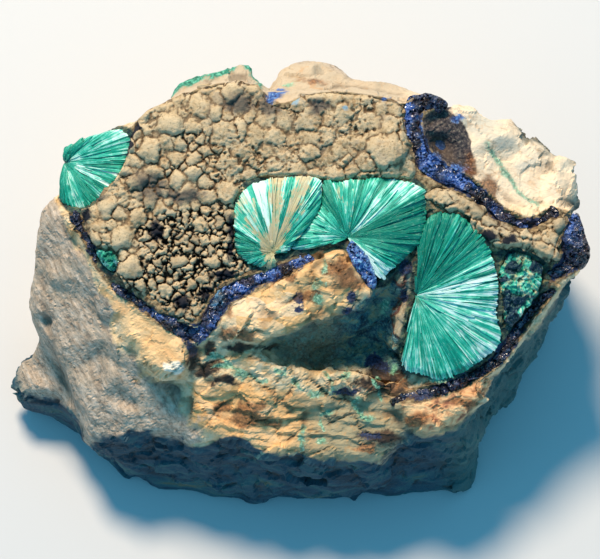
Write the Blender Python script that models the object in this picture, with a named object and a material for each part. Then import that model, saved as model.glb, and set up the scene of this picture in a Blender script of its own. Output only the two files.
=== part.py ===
"""A tyrolite hand specimen, resting on its broken underside.

A limestone block carries a level bench. On the bench sits a nodular tan crust,
edged by dark azurite, and across its right half spread flat green tyrolite fans
that radiate from single points. The bench faces up and leans toward the front.

Lengths are millimetres until make_object turns them into metres. The bench has its own
frame, in which x runs right, y runs up the slope and z stands out of the bench.
"""

import math
import random

import bmesh
import bpy
from mathutils import Matrix, Vector, noise

# ---- driving dimensions, in millimetres -----------------------------------------
FACE_TILT = 18.0  # degrees that the bench leans toward the front
FACE_ORIGIN = (0.33, -3.43, 25.0)  # where the bench's zero stands over the foot
GAP = 0.3  # room between two pieces that touch
ROCK_GRAIN = 0.8  # size of the cells that fuse the blocks of stone
ROCK_FACES = 2150  # triangles kept on the stone
BLOCK_SIZE = 3.4  # size of the stone's broken blocks
BLOCK_STEP = 0.45  # how far one broken block stands over the next
CRUST_FOOT = -0.7  # underside of the tan crust, in the bench's frame
CRUST_GRID = 0.5  # spacing of the crust's surface points
NODULE_SIZE = 1.9  # spacing of the crust's small nodules
NODULE_RISE = 0.55  # height of a small nodule
AZURITE_GRID = 0.85  # spacing of the azurite's surface points
RIB_RISE = 0.22  # height of a fan's ribs over the grooves between them

TOP_OF_CUT = 9.0  # how far a seat is cleared above the piece that sits in it

# ---- colours ---------------------------------------------------------------------
LIMESTONE = (0.52, 0.46, 0.38)
TAN = (0.42, 0.30, 0.17)
AZURITE = (0.02, 0.05, 0.24)
TYROLITE = (0.05, 0.24, 0.20)

# ---- the stone's blocks: top corners in the bench's frame, feet on the ground --------
# Feet are x and y from the point of the ground under the bench's zero.
CORE_TOP = [
    (-17.7, 17.4, -1), (-10.7, 20.1, -1), (-3.8, 20.6, -1), (4.3, 20.4, -1), (12.3, 19.6, -1),
    (15.6, 18.5, -1), (21.5, 7.3, -1), (13.9, 1.9, -1), (0, -1.1, -1), (-10.2, -6.7, -1),
    (-18.2, -1.6, -1), (-23.2, 7.7, -1.2), (-21.6, 12.9, -2),
]
CORE_FEET = [
    (-17, -12), (-6, -14), (8, -13.5), (16, -12.5), (20, -6), (24, 2), (25, 12),
    (18, 19), (4, 21), (-8, 20), (-17, 15), (-24, 6), (-24, -3),
]
RIGHT_TOP = [
    (12.3, 8.6, -1), (19.3, 10.7, -1), (29.2, 6.2, -1.5), (30.4, 3.4, -2.5), (28.5, 0, -2.8),
    (22.3, -6.1, -2.2), (16.9, -11, -2.8), (11.3, -11.3, -3), (12.1, -2.2, -2),
]
RIGHT_FEET = [(12, -14), (19, -13), (22.5, -7), (26, -2), (28.5, 4), (28, 9), (16, 8)]
BACK_SLAB_TOP = [
    (15.1, 19, -2), (18.9, 18.8, -4), (23.8, 17, -4.5), (28, 13.4, -4.5), (30, 13, -4),
    (29.8, 9.7, -4), (28.3, 8, -3), (21.5, 7.1, -1.2), (16.6, 11.8, -1.2),
]
BACK_SLAB_FEET = [(16, 12), (27.5, 12), (28.5, 8), (24, 17), (17, 19.5)]
BACK_RIDGE_TOP = [
    (-3.7, 20.7, -5), (-1.1, 23.4, -7), (0.4, 24.5, -7.5), (2, 24.3, -7.5), (7.4, 22.2, -8),
    (15.2, 19.5, -6), (13, 19.2, -3), (0, 20.1, -3),
]
BACK_RIDGE_FEET = [(-4, 16), (0, 20.5), (6, 21.5), (13, 19.5), (14, 14)]
LEDGE_TOP = [
    (-14.8, 19.1, -2.2), (-12.9, 21, -2.8), (-10.2, 22.4, -2.8), (-7, 23.9, -3),
    (-4.9, 23.6, -3.2), (-4.2, 21.3, -3), (-10.2, 20.1, -1.4),
]
LEDGE_FEET = [(-15, 13), (-12, 17), (-5, 18.5), (-3, 14)]
SHOULDER_TOP = [
    (-25.6, 9.8, -3.6), (-25.6, 12, -4.9), (-24, 14.6, -5), (-18.8, 17, -3), (-17.6, 16.6, -1.8),
    (-21.6, 8, -1.6),
]
SHOULDER_FEET = [(-25, 8), (-26, 11), (-23, 13.5), (-17, 15), (-18, 6)]
FLANK_TOP = [
    (-24.3, 8.3, -1.8), (-25.9, 9.8, -3.4), (-27.6, 8.1, -4.2), (-29, 3.8, -5.6), (-30, 0.4, -7),
    (-28.4, -3.1, -7.6), (-26.7, -7.1, -8.2), (-24.7, -13.2, -8.8), (-23.3, -16.2, -9),
    (-21.3, -17.5, -8.6), (-18.8, -17.6, -7.4), (-16.1, -16.7, -6.8), (-12.5, -13, -5.4),
    (-14.6, -7, -2.6), (-20.2, 0.2, -1.4),
]
FLANK_FEET = [
    (-26, 8), (-28, 3), (-28.5, -3), (-26.5, -9), (-23.2, -11.7), (-21.5, -14), (-19.2, -15.8),
    (-16.3, -17), (-12, -12), (-16, 0),
]
KNOB_TOP = [
    (-27.4, -4.2, -12), (-29, -4.7, -12.5), (-29.7, -8, -14.5), (-31.8, -11.7, -16),
    (-32.5, -12.8, -16.8), (-28.5, -12.6, -15.5), (-24.7, -13.1, -13.5), (-25.2, -8.8, -11),
]
KNOB_FEET = [(-30, -6.2), (-28.6, -8), (-25, -10), (-23.2, -11), (-24, -4), (-28, -3)]
NOSE_TOP = [
    (-10.2, -7, -1.1), (-8, -2.7, 0.6), (-4.1, -0.7, 0.9), (0, 1.3, 1.3), (3.2, 3, 1.6),
    (4.8, 3.6, 1.8), (7, 2.3, 1.4), (9, -0.6, 0.9), (6.9, -2.6, 1.2), (4.6, -4.2, 1.1),
    (0.2, -4.8, 0.9), (-3.4, -6.2, 0.3), (-9.3, -7.6, -6), (0, -5.9, -6), (7.6, -3.8, -8),
    (10.6, -1.3, -7), (4.9, 3.3, -6), (-7.6, -2.2, -6),
]
FRONT_TOP = [
    (-11.1, -7.6, -1.9), (-8.4, -8, -1.7), (-13, -10.4, -3.6), (-17.2, -13.1, -6.2),
    (-16.4, -16.6, -7), (-12, -16.6, -6.4), (-7.6, -17.4, -5.9), (-2.7, -18.7, -5.9),
    (2.2, -19.9, -6.4), (7.4, -19.9, -6.4), (9.1, -18.7, -6.6), (9.2, -17, -6), (11.1, -12.8, -3.8),
    (10.8, -10.6, -3.2), (0, -10, -2.6), (-4.6, -8.6, -1.9),
]
FRONT_FEET = [
    (-16.3, -17), (-11.3, -17), (-5.6, -18.5), (0, -17.7), (6.8, -17.3), (11.3, -17.9),
    (12, -10), (-12, -8),
]
TONGUE_TOP = [
    (10.6, -13.4, -3.4), (16.8, -11.4, -2.6), (20.2, -11.3, -3.3), (18.5, -15.8, -4.9),
    (16.9, -16.8, -5.6), (12.5, -16.4, -5.4), (9.6, -17.4, -6.2),
]
TONGUE_FEET = [(11.3, -17.9), (14.6, -17.5), (19.2, -16.8), (19.9, -15.4), (19.2, -13.5), (10, -12)]
LIP_TOP = [
    (-15.1, -7.6, -2.3), (-12.5, -7.2, -1.9), (-11.8, -9.2, -2.5), (-16.3, -9.3, -3.4),
    (-15, -7.5, -8), (-12, -7.4, -8), (-12, -10.5, -8), (-16, -10, -8),
]
UPPER_PEG = [
    (10.5, 2.4, -0.4), (11.6, 1.9, -0.2), (12, -0.5, -0.8), (10.6, -1.3, -1.6), (9.5, -0.6, -2),
    (12.4, 2.2, -6), (12.6, -1.8, -6), (9.2, -1.6, -6), (9.4, 2, -6),
]
LOWER_PEG = [
    (10.8, -3.4, -0.6), (12.3, -3.2, -0.4), (12.9, -5.4, -0.6), (12, -7.7, -1), (10.3, -7.5, -1.4),
    (9.9, -5.4, -1.4), (13, -3, -7), (13, -8.4, -7), (9.4, -8.2, -7), (9.2, -3.4, -7),
]
BLOCKS = [
    (CORE_TOP, CORE_FEET), (RIGHT_TOP, RIGHT_FEET), (BACK_SLAB_TOP, BACK_SLAB_FEET),
    (BACK_RIDGE_TOP, BACK_RIDGE_FEET), (LEDGE_TOP, LEDGE_FEET), (SHOULDER_TOP, SHOULDER_FEET),
    (FLANK_TOP, FLANK_FEET), (KNOB_TOP, KNOB_FEET), (NOSE_TOP, []), (FRONT_TOP, FRONT_FEET),
    (TONGUE_TOP, TONGUE_FEET), (LIP_TOP, []), (UPPER_PEG, []), (LOWER_PEG, []),
]
# Pits in the stone: x, y, radius, depth, in the bench's frame.
PITS = [
    (2.2, -8, 2.4, 1.4), (6.8, -7.4, 2.4, 1.5), (-13.8, -11.6, 2.0, 1.1), (-3.6, -13.6, 1.6, 0.5),
    (4.6, -14.2, 1.8, 0.5), (-22.4, -9.0, 1.8, 0.6), (9.2, -3.6, 1.4, 1.2), (14.4, 14.6, 2.2, 0.9),
    (22.8, 12.4, 1.6, 0.6), (-26.2, -2.2, 1.7, 0.6), (6.0, 20.6, 1.8, 0.8), (15.4, -14.4, 1.5, 0.7),
]

# ---- outlines on the bench ---------------------------------------------------------
CRUST_EDGE = [
    (-17.3, 17.1), (-16.1, 18.3), (-14.3, 18.9), (-12.4, 19.6), (-10.2, 20.4), (-7.9, 21), (-4.5, 20.7),
    (-3.6, 18.9), (-1.5, 18.3), (0.1, 19.5), (3.4, 20), (7.5, 19.6), (10.7, 18.8), (11.2, 16.6),
    (11.7, 14.2), (12.4, 12), (12.5, 10.8), (4.8, 9.4), (0, 9.4), (-4, 8), (-5, 4), (-4.3, 1.4),
    (-7, 0.2), (-8.6, -0.4), (-9.8, -1.9), (-10.5, -4.1), (-12, -4.6), (-13.7, -4.1), (-15, -2.7),
    (-17.1, -1.4), (-18.7, -0.4), (-19.9, 1), (-21.6, 3.2), (-22.7, 4.8), (-23.5, 6.4), (-23.8, 7.7),
    (-23.1, 8.8), (-21.9, 9.8), (-20.8, 10.6), (-19.5, 11.6), (-18.8, 12.6), (-18.4, 13.9),
    (-17.9, 15.2),
]
# The crust's large nodules: x, y, radius.
LARGE_NODULES = [
    (-13.9, 16.6, 1.7), (-10.2, 18.2, 1.2), (-11.2, 16, 1), (-16, 13.9, 1.1), (-8.6, 17.1, 1.5),
    (-7, 14.4, 1.3), (-11.2, 11.2, 1.1), (-20.3, 7.7, 1.4), (-19.3, 4.6, 1.5), (-21.4, 5.9, 1),
    (-18.4, 0.9, 1.5), (-13.1, 1.9, 0.9), (-15, 2.1, 0.7), (-12.5, 8.6, 0.7), (-3.7, 13.9, 0.8),
    (-2.1, 13.4, 0.7), (1.1, 13.9, 0.9), (4.8, 13.9, 1.1), (9.1, 13.9, 2.2), (-16, 3.7, 0.6),
    (-11.2, 5.9, 0.7),
]
RIGHT_CRUST_EDGE = [
    (13.9, 10.1), (15.5, 9.8), (17.5, 8.9), (19.3, 8), (20.3, 6.5), (22.5, 5.8), (24.5, 4.5),
    (26.3, 5.3), (28, 7.1), (28.7, 6.6), (27.9, 5.1), (27.4, 3.6), (27.9, 1.9), (26.8, 1.3),
    (24.6, 1.9), (23.2, 3), (21.2, 3.5), (19.5, 4.6), (18.7, 5.9), (17.3, 7.2), (15.1, 7.7),
    (14, 8.2),
]

# ---- azurite lines: x, y, half width ------------------------------------------------
FRONT_RIM = [
    (-24.6, 7.4, 0.7), (-23.9, 6.2, 0.7), (-22.7, 4, 0.4), (-22.1, 2.2, 0.35), (-21.2, 0.6, 0.4),
    (-19.8, -0.8, 0.5), (-17.1, -2.5, 0.6), (-15, -4.1, 0.6), (-12.8, -5.4, 0.7), (-11, -6.1, 0.9),
    (-9.9, -4.9, 0.9), (-8.9, -3, 0.9), (-7.8, -1.6, 0.9), (-5.9, -0.7, 0.8), (-4.1, 0, 0.7),
    (-1.6, 1, 0.7), (0.5, 2, 0.6), (1.9, 2.6, 0.4),
]
BACK_RIM = [
    (15.4, 18.6, 0.7), (13.8, 19.2, 0.8), (12.3, 18.7, 0.9), (11.9, 17.3, 0.8), (12.4, 15.2, 0.8),
    (13, 13.1, 0.9), (14.3, 11.8, 1.1),
    (15.9, 11, 1), (17.5, 10.3, 0.9), (18.8, 9.5, 0.8), (20.1, 8.1, 0.8), (21.2, 7, 0.7),
    (22.8, 6.5, 0.6), (24.5, 5.6, 0.6), (26, 6.4, 0.6), (27.6, 7.9, 0.6),
]
SEAM = [
    (9.6, -13.5, 0.6), (11.2, -12.7, 0.6), (13.9, -12.2, 0.7), (16.6, -11.5, 0.7), (19.3, -10, 0.7),
    (21.4, -8.6, 0.7), (22.9, -6.4, 0.7), (24.4, -4.2, 0.6), (26.2, -2, 0.6), (27.6, -0.7, 0.5),
]
TIP_EDGE = [
    (28.9, 7.9), (29.7, 7.3), (30.4, 5.9), (30.6, 4.3), (31.2, 3.2), (30.8, 1.3), (29.4, 0.9),
    (27.8, -0.2), (26.6, 0.3), (26.4, 1), (28, 1.7), (28.2, 3.7), (28, 4.5), (29, 6.4),
]
WEDGE_EDGE = [
    (4.9, 3.4), (6, 3.2), (7.1, 2.1), (8.3, 0), (8, -0.9), (6.6, 0.5), (5.6, 1.9),
]

BUTTON_EDGE = [
    (-21.8, 3.3), (-21.2, 3.3), (-20.1, 3.1), (-19.5, 2.4), (-19.3, 1.6), (-20, 0.9), (-20.6, 1),
    (-21.2, 1.9), (-21.8, 2.7),
]

# ---- tyrolite fans: degrees round the apex, reach -----------------------------------
LEFT_REACH = [
    (-96, 4), (-84, 4.9), (-66, 5.8), (-45, 5.8), (-22, 6.1), (-5, 6.8), (10, 7.4),
    (20, 8.2), (28, 7.1), (38, 4.6), (55, 2.4), (80, 1.3),
]
STREAKED_REACH = [
    (-5, 1.6), (14, 3.4), (32, 5.2), (48, 7.6), (56, 9.2), (72, 8.4), (90, 8), (105, 7.9), (115, 7.6),
    (126, 6.7), (138, 5.3), (152, 4.4), (170, 4), (195, 3.2), (220, 2.2), (240, 1.5),
]
CENTRE_REACH = [
    (-62, 6), (-50, 6.2), (-35, 6.4), (-17, 5.6), (0, 5.9), (12, 6.8), (20, 8.9), (29, 9.6), (38, 9.2),
    (48, 8.2), (70, 6.6), (92, 6), (113, 6.3), (124, 4.9), (135, 4.2), (150, 3.7), (170, 4), (188, 4.3),
    (197, 3),
]
RIGHT_REACH = [
    (-103, 7.4), (-88, 8.4), (-69, 9.5), (-59, 9.9), (-45, 10.1), (-34, 10.3), (-25, 10), (-14, 9.2),
    (-4, 8.8), (8, 8.8), (17, 9), (31, 9.1), (46, 9.7), (60, 9.3), (72, 8.8), (84, 8.6),
]
TUFT_REACH = [(48, 4.4), (52, 6.4), (58, 8.4), (66, 8.8), (74, 8.9), (84, 9.1), (92, 8.4), (98, 6.4)]


# ---- frames and meshes ---------------------------------------------------------------
def face_frame(x=0.0, y=0.0, z=0.0, lean_x=0.0, lean_y=0.0):
    """A frame on the bench, turned about its own x and then its own y, in degrees."""
    bench = Matrix.Translation(FACE_ORIGIN) @ Matrix.Rotation(math.radians(FACE_TILT), 4, "X")
    turn = Matrix.Rotation(math.radians(lean_x), 4, "X") @ Matrix.Rotation(math.radians(lean_y), 4, "Y")
    return bench @ Matrix.Translation((x, y, z)) @ turn


def clear_scene():
    for obj in list(bpy.data.objects):
        bpy.data.objects.remove(obj, do_unlink=True)


def make_object(name, bm):
    """Turns a bmesh in millimetres into an object in metres."""
    bmesh.ops.scale(bm, vec=(0.001, 0.001, 0.001), verts=bm.verts)
    bmesh.ops.recalc_face_normals(bm, faces=bm.faces)
    mesh = bpy.data.meshes.new(name)
    bm.to_mesh(mesh)
    bm.free()
    obj = bpy.data.objects.new(name, mesh)
    bpy.context.scene.collection.objects.link(obj)
    return obj


def apply_modifiers(obj):
    graph = bpy.context.evaluated_depsgraph_get()
    mesh = bpy.data.meshes.new_from_object(obj.evaluated_get(graph))
    obj.modifiers.clear()
    obj.data = mesh


def combine(target, tool, operation):
    """Removes a tool's solid from a target, or keeps only what they share."""
    modifier = target.modifiers.new(operation.lower(), "BOOLEAN")
    modifier.operation = operation
    modifier.solver = "EXACT"
    modifier.object = tool
    apply_modifiers(target)
    bpy.data.objects.remove(tool, do_unlink=True)


def paint(obj, colour, roughness):
    """Gives a piece its own material."""
    material = bpy.data.materials.new(obj.name)
    material.use_nodes = True
    shader = material.node_tree.nodes["Principled BSDF"]
    shader.inputs["Base Color"].default_value = (*colour, 1.0)
    shader.inputs["Roughness"].default_value = roughness
    obj.data.materials.clear()
    obj.data.materials.append(material)


def add_hull(bm, points):
    """Adds the convex solid round the points."""
    lump = bmesh.new()
    verts = [lump.verts.new(point) for point in points]
    done = bmesh.ops.convex_hull(lump, input=verts)
    spare = [item for item in done["geom_interior"] if isinstance(item, bmesh.types.BMVert)]
    bmesh.ops.delete(lump, geom=spare, context="VERTS")
    mesh = bpy.data.meshes.new("lump")
    lump.to_mesh(mesh)
    lump.free()
    bm.from_mesh(mesh)
    bpy.data.meshes.remove(mesh)


def prism(name, outline, low, high, frame):
    """A straight-sided solid over an outline."""
    bm = bmesh.new()
    floor = [bm.verts.new(frame @ Vector((x, y, low))) for x, y in outline]
    roof = [bm.verts.new(frame @ Vector((x, y, high))) for x, y in outline]
    bm.faces.new(floor)
    bm.faces.new(roof)
    count = len(outline)
    for i in range(count):
        j = (i + 1) % count
        bm.faces.new((floor[i], floor[j], roof[j], roof[i]))
    return make_object(name, bm)


# ---- outlines ------------------------------------------------------------------------
def signed_area(outline):
    total = 0.0
    for (ax, ay), (bx, by) in zip(outline, outline[1:] + outline[:1]):
        total += ax * by - bx * ay
    return total / 2


def grow(outline, distance):
    """Moves every side of an outline outward, with each corner's reach held short."""
    side = 1.0 if signed_area(outline) > 0 else -1.0
    grown = []
    count = len(outline)
    for i in range(count):
        here = Vector(outline[i])
        before = (here - Vector(outline[i - 1])).normalized()
        after = (Vector(outline[(i + 1) % count]) - here).normalized()
        out_before = Vector((before.y, -before.x)) * side
        out_after = Vector((after.y, -after.x)) * side
        middle = (out_before + out_after).normalized()
        reach = distance / max(0.45, middle.dot(out_after))
        grown.append(tuple(here + middle * reach))
    return grown


def ribbon(line):
    """The outline of a line with a half width at each point."""
    left, right = [], []
    for i, (x, y, half) in enumerate(line):
        before = Vector(line[max(i - 1, 0)][:2])
        after = Vector(line[min(i + 1, len(line) - 1)][:2])
        along = (after - before).normalized()
        left.append((x - along.y * half, y + along.x * half))
        right.append((x + along.y * half, y - along.x * half))
    return left + right[::-1]


def reach_at(table, degrees):
    for (a0, r0), (a1, r1) in zip(table, table[1:]):
        if a0 <= degrees <= a1:
            return r0 + (r1 - r0) * (degrees - a0) / (a1 - a0)
    return table[-1][1]


def sector(table):
    """The outline of a fan: its apex, then its rim."""
    rim = [(r * math.cos(math.radians(a)), r * math.sin(math.radians(a))) for a, r in table]
    return [(0.0, 0.0)] + rim


# ---- stone ---------------------------------------------------------------------------
def rock_blocks():
    """Every block as a convex solid, on feet a little under the ground."""
    bm = bmesh.new()
    frame = face_frame()
    for tops, feet in BLOCKS:
        corners = [frame @ Vector(point) for point in tops]
        corners += [Vector((x + FACE_ORIGIN[0], y + FACE_ORIGIN[1], -1.5)) for x, y in feet]
        add_hull(bm, corners)
    return make_object("matrix_rock", bm)


def broken_step(point):
    """How far the flat face of one broken block stands out at a point."""
    near, centres = noise.voronoi(point / BLOCK_SIZE)
    key = centres[0] * 7.3
    lean = Vector((noise.cell(key), noise.cell(key.yzx), noise.cell(key.zxy)))
    tilt = lean.dot(point / BLOCK_SIZE - centres[0])
    joint = 1.0 - min(1.0, (near[1] - near[0]) / 0.2)
    return BLOCK_STEP * (noise.cell(key * 1.7) + 1.3 * tilt - 0.4 * joint)


def pit_depth(point):
    """How deep the stone is hollowed at a point of the bench's frame."""
    depth = 0.0
    for x, y, radius, deep in PITS:
        away = math.hypot(point.x - x, point.y - y) / radius
        depth = max(depth, deep * (1.0 - away * away) if away < 1 else 0.0)
    return depth


def weather(obj):
    """Breaks the stone's surface into blocks, then pits and roughens it."""
    mesh = obj.data
    bench = face_frame()
    to_bench = bench.inverted()
    turn = to_bench.to_3x3()
    normals = [turn @ vertex.normal for vertex in mesh.vertices]
    for vertex, normal in zip(mesh.vertices, normals):
        point = to_bench @ (vertex.co * 1000)
        swell = 0.6 * noise.noise(point / 6.5) + 0.2 * noise.noise(point / 1.9)
        moved = point + normal * (broken_step(point) + swell)
        if normal.z > 0.2:
            moved.z -= pit_depth(point)
        vertex.co = (bench @ moved) * 0.001


def reduce_faces(obj, target):
    obj.data.calc_loop_triangles()
    modifier = obj.modifiers.new("reduce", "DECIMATE")
    modifier.ratio = min(1.0, target / len(obj.data.loop_triangles))
    apply_modifiers(obj)


def make_rock():
    rock = rock_blocks()
    modifier = rock.modifiers.new("fuse", "REMESH")
    modifier.mode = "VOXEL"
    modifier.voxel_size = ROCK_GRAIN * 0.001
    modifier.use_smooth_shade = False
    apply_modifiers(rock)
    weather(rock)
    reduce_faces(rock, ROCK_FACES)
    ground = [(-60, -60), (60, -60), (60, 60), (-60, 60)]
    combine(rock, prism("ground", ground, -10, 0, Matrix.Identity(4)), "DIFFERENCE")
    return rock


# ---- tan crust -----------------------------------------------------------------------
def nodule_height(x, y):
    """The crust's top: small nodules everywhere, and the large ones where they grew."""
    near, _ = noise.voronoi(Vector((x, y, 0.0)) / NODULE_SIZE)
    small = NODULE_RISE * math.sqrt(max(0.0, 1.0 - (near[0] / 0.62) ** 2))
    large = 0.0
    for cx, cy, radius in LARGE_NODULES:
        away = math.hypot(x - cx, y - cy)
        if away < radius:
            large = max(large, 0.3 + 0.75 * math.sqrt(radius * radius - away * away))
    roll = 0.3 * noise.noise(Vector((x, y, 5.0)) / 5.0)
    return 0.2 + roll + max(small, large)


def sheet_points(outline, step, height, frame, bm):
    """Rows of surface points over the whole outline, each moved a little off its row."""
    xs = [point[0] for point in outline]
    ys = [point[1] for point in outline]
    rng = random.Random(len(outline))
    rows = []
    for row in range(int((max(ys) - min(ys)) / step) + 3):
        line = []
        for column in range(int((max(xs) - min(xs)) / step) + 3):
            x = min(xs) + (column - 0.63 + rng.uniform(-0.28, 0.28)) * step
            y = min(ys) + (row - 0.71 + rng.uniform(-0.28, 0.28)) * step
            line.append(bm.verts.new(frame @ Vector((x, y, height(x, y)))))
        rows.append(line)
    return rows


def height_sheet(name, outline, foot, step, height, frame, faces=None):
    """A solid with a flat underside and a modelled top, trimmed to its outline."""
    bm = bmesh.new()
    top = sheet_points(outline, step, height, frame, bm)
    for row, (near, far) in enumerate(zip(top, top[1:])):
        for column in range(len(near) - 1):
            a, b, c, d = near[column], near[column + 1], far[column + 1], far[column]
            cuts = ((a, b, c), (a, c, d)) if (row + column) % 2 else ((a, b, d), (b, c, d))
            for corners in cuts:
                bm.faces.new(corners)
    edge = top[0][:-1] + [line[-1] for line in top[:-1]]
    edge += top[-1][:0:-1] + [line[0] for line in top[:0:-1]]
    to_local = frame.inverted()
    low = []
    for vert in edge:
        local = to_local @ vert.co
        low.append(bm.verts.new(frame @ Vector((local.x, local.y, foot - 0.5))))
    bm.faces.new(low)
    for i in range(len(edge)):
        j = (i + 1) % len(edge)
        bm.faces.new((edge[i], edge[j], low[j], low[i]))
    sheet = make_object(name, bm)
    if faces:
        reduce_faces(sheet, faces)
    combine(sheet, prism("trim", outline, foot, TOP_OF_CUT, frame), "INTERSECT")
    return sheet


def button_height(x, y):
    away = math.hypot(x + 20.3, y - 2.1) / 1.5
    return -0.4 + 0.9 * math.sqrt(max(0.0, 1.0 - away * away))


# ---- azurite -------------------------------------------------------------------------
def crystal_facets(size, rise, level):
    """A height of flat tilted facets, one for each crystal grown into its neighbours."""

    def height(x, y):
        near, centres = noise.voronoi(Vector((x, y, 0.0)) / size)
        key = centres[0] * 9.1
        lean = Vector((noise.cell(key), noise.cell(key.yzx + Vector((3.1, 0, 0))), 0)) * 0.8
        tilt = lean.dot(Vector((x, y, 0.0)) / size - centres[0])
        step = noise.cell(key.zxy + Vector((0, 5.7, 0)))
        return level(x, y) + rise * (tilt + 0.6 * step - 0.5 * near[0])

    return height


def front_rim_level(x, y):
    """The rim climbs from the flank's edge to the broken stone above the hollow."""
    climb = min(1.0, max(0.0, (x + 11.6) / 3.4))
    return -0.1 + 1.3 * climb


def back_rim_level(x, y):
    return 0.5 - 0.05 * max(0.0, x - 16)


def seam_level(x, y):
    return -1.9 + 0.05 * (y + 12)


def tip_level(x, y):
    return -0.2 + 0.12 * (y - 4)


def wedge_level(x, y):
    return 2.0 - 0.2 * (x - 5)


# ---- tyrolite fans -------------------------------------------------------------------
def make_fan(name, table, ribs, frame, seed, thick, lift):
    """A flat spray of blades from one point, ribbed along each blade.

    lift is how much higher the rim stands than the apex.
    """
    rng = random.Random(seed)
    first, last = table[0][0], table[-1][0]
    count = ribs * 2
    rings = (0.22, 0.5, 0.78, 0.96)
    bm = bmesh.new()
    apex = bm.verts.new(frame @ Vector((0, 0, thick * 0.75)))
    foot = bm.verts.new(frame @ Vector((0, 0, 0)))
    spokes, under = [], []
    for i in range(count + 1):
        shift = rng.uniform(-0.38, 0.38) if 0 < i < count else 0.0
        degrees = first + (last - first) * (i + shift) / count
        reach = reach_at(table, degrees) * (1.0 - rng.uniform(0.0, 0.07))
        ridge = RIB_RISE * ((1 if i % 2 else -1) * rng.uniform(0.2, 1.1) + rng.uniform(-0.5, 0.5))
        angle = math.radians(degrees)
        spoke = []
        for part in rings:
            swell = thick * (0.75 + 0.35 * math.sin(part * math.pi)) + lift * part
            height = swell + ridge * part - (0.35 * thick if part == rings[-1] else 0.0)
            x = reach * part * math.cos(angle)
            y = reach * part * math.sin(angle)
            spoke.append(bm.verts.new(frame @ Vector((x, y, height))))
        spokes.append(spoke)
        x, y = reach * math.cos(angle), reach * math.sin(angle)
        under.append(bm.verts.new(frame @ Vector((x, y, 0))))
        spoke.append(bm.verts.new(frame @ Vector((x, y, 0.4 * thick + lift * 0.6))))
    for a, b in zip(spokes, spokes[1:]):
        bm.faces.new((apex, a[0], b[0]))
        for step in range(len(a) - 1):
            bm.faces.new((a[step], a[step + 1], b[step + 1], b[step]))
    for i in range(count):
        bm.faces.new((spokes[i][-1], under[i], under[i + 1], spokes[i + 1][-1]))
    bm.faces.new([apex] + spokes[0] + [under[0], foot])
    bm.faces.new(([apex] + spokes[-1] + [under[-1], foot])[::-1])
    bm.faces.new([foot] + under[::-1])
    bmesh.ops.triangulate(bm, faces=[face for face in bm.faces if len(face.verts) == 4])
    return make_object(name, bm)


# ---- assembly ------------------------------------------------------------------------
def seat_piece(piece, seats, outline, foot, frame):
    """Trims a piece by every earlier seat, then leaves its own for the later pieces."""
    for other, low, place in seats:
        tool = prism("seat", grow(other, GAP), low - GAP, TOP_OF_CUT, place)
        combine(piece, tool, "DIFFERENCE")
    seats.append((outline, foot, frame))


def lay_fans(seats):
    """The five sprays of tyrolite: name, reaches, ribs, place, thickness, rim's lift."""
    fans = [
        ("tyrolite_fan_right", RIGHT_REACH, 18, face_frame(12.5, -1.6, -1.6, 6.5), 1.1, 0.2),
        ("tyrolite_fan_centre", CENTRE_REACH, 20, face_frame(5.1, 4.5, -1.05), 1.8, -0.2),
        ("tyrolite_fan_streaked", STREAKED_REACH, 17, face_frame(-2.9, 2.9, -0.95), 1.7, 0),
        ("tyrolite_fan_left", LEFT_REACH, 13, face_frame(-25.1, 12.7, -4.6, 0, -20), 1.2, 0.2),
        ("tyrolite_tuft_right", TUFT_REACH, 6, face_frame(22.2, -5.5, -1.9, 3, 3), 1.0, 0.3),
    ]
    for seed, (name, table, ribs, frame, thick, lift) in enumerate(fans, start=11):
        fan = make_fan(name, table, ribs, frame, seed, thick, lift)
        seat_piece(fan, seats, sector(table), 0.0, frame)
        paint(fan, TYROLITE, 0.38)


def lay_button(seats):
    bench = face_frame()
    button = height_sheet("tyrolite_button", BUTTON_EDGE, -1.2, 0.55, button_height, bench)
    seat_piece(button, seats, BUTTON_EDGE, -1.2, bench)
    paint(button, TYROLITE, 0.38)


def lay_azurite(seats):
    """The azurite rims: name, outline, underside, crystal size, relief, level."""
    bench = face_frame()
    rims = [
        ("azurite_rim_front", ribbon(FRONT_RIM), -1.7, 1.5, 1.1, front_rim_level),
        ("azurite_rim_back", ribbon(BACK_RIM), -1.9, 1.7, 1.1, back_rim_level),
        ("azurite_seam_lower", ribbon(SEAM), -3.9, 1.6, 1.1, seam_level),
        ("azurite_tip", TIP_EDGE, -2.8, 2.1, 1.6, tip_level),
        ("azurite_wedge", WEDGE_EDGE, -0.2, 1.4, 0.7, wedge_level),
    ]
    for name, outline, foot, size, rise, level in rims:
        facets = crystal_facets(size, rise, level)
        rim = height_sheet(name, outline, foot, AZURITE_GRID, facets, bench)
        seat_piece(rim, seats, outline, foot, bench)
        paint(rim, AZURITE, 0.3)


def lay_crusts(seats):
    """The two stretches of tan crust, with the triangles kept before they are trimmed."""
    bench = face_frame()
    crusts = (("tan_crust", CRUST_EDGE, 3000), ("tan_crust_right", RIGHT_CRUST_EDGE, 620))
    for name, outline, faces in crusts:
        crust = height_sheet(name, outline, CRUST_FOOT, CRUST_GRID, nodule_height, bench, faces)
        seat_piece(crust, seats, outline, CRUST_FOOT, bench)
        paint(crust, TAN, 0.85)


def build():
    clear_scene()
    seats = []
    lay_fans(seats)
    lay_button(seats)
    lay_azurite(seats)
    lay_crusts(seats)
    rock = make_rock()
    seat_piece(rock, seats, CRUST_EDGE, CRUST_FOOT, face_frame())
    paint(rock, LIMESTONE, 0.8)


build()
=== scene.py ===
"""The finished look of a tyrolite hand specimen.

A broken limestone block carries a nodular tan crust, dark azurite along the crust's
edges, and flat green tyrolite fans. Shapes are worked out in millimetres in the frame of
the bench, the stone's flat upper face: x to the right, y up the slope, z out of the face.
"""

import math
import random

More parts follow.
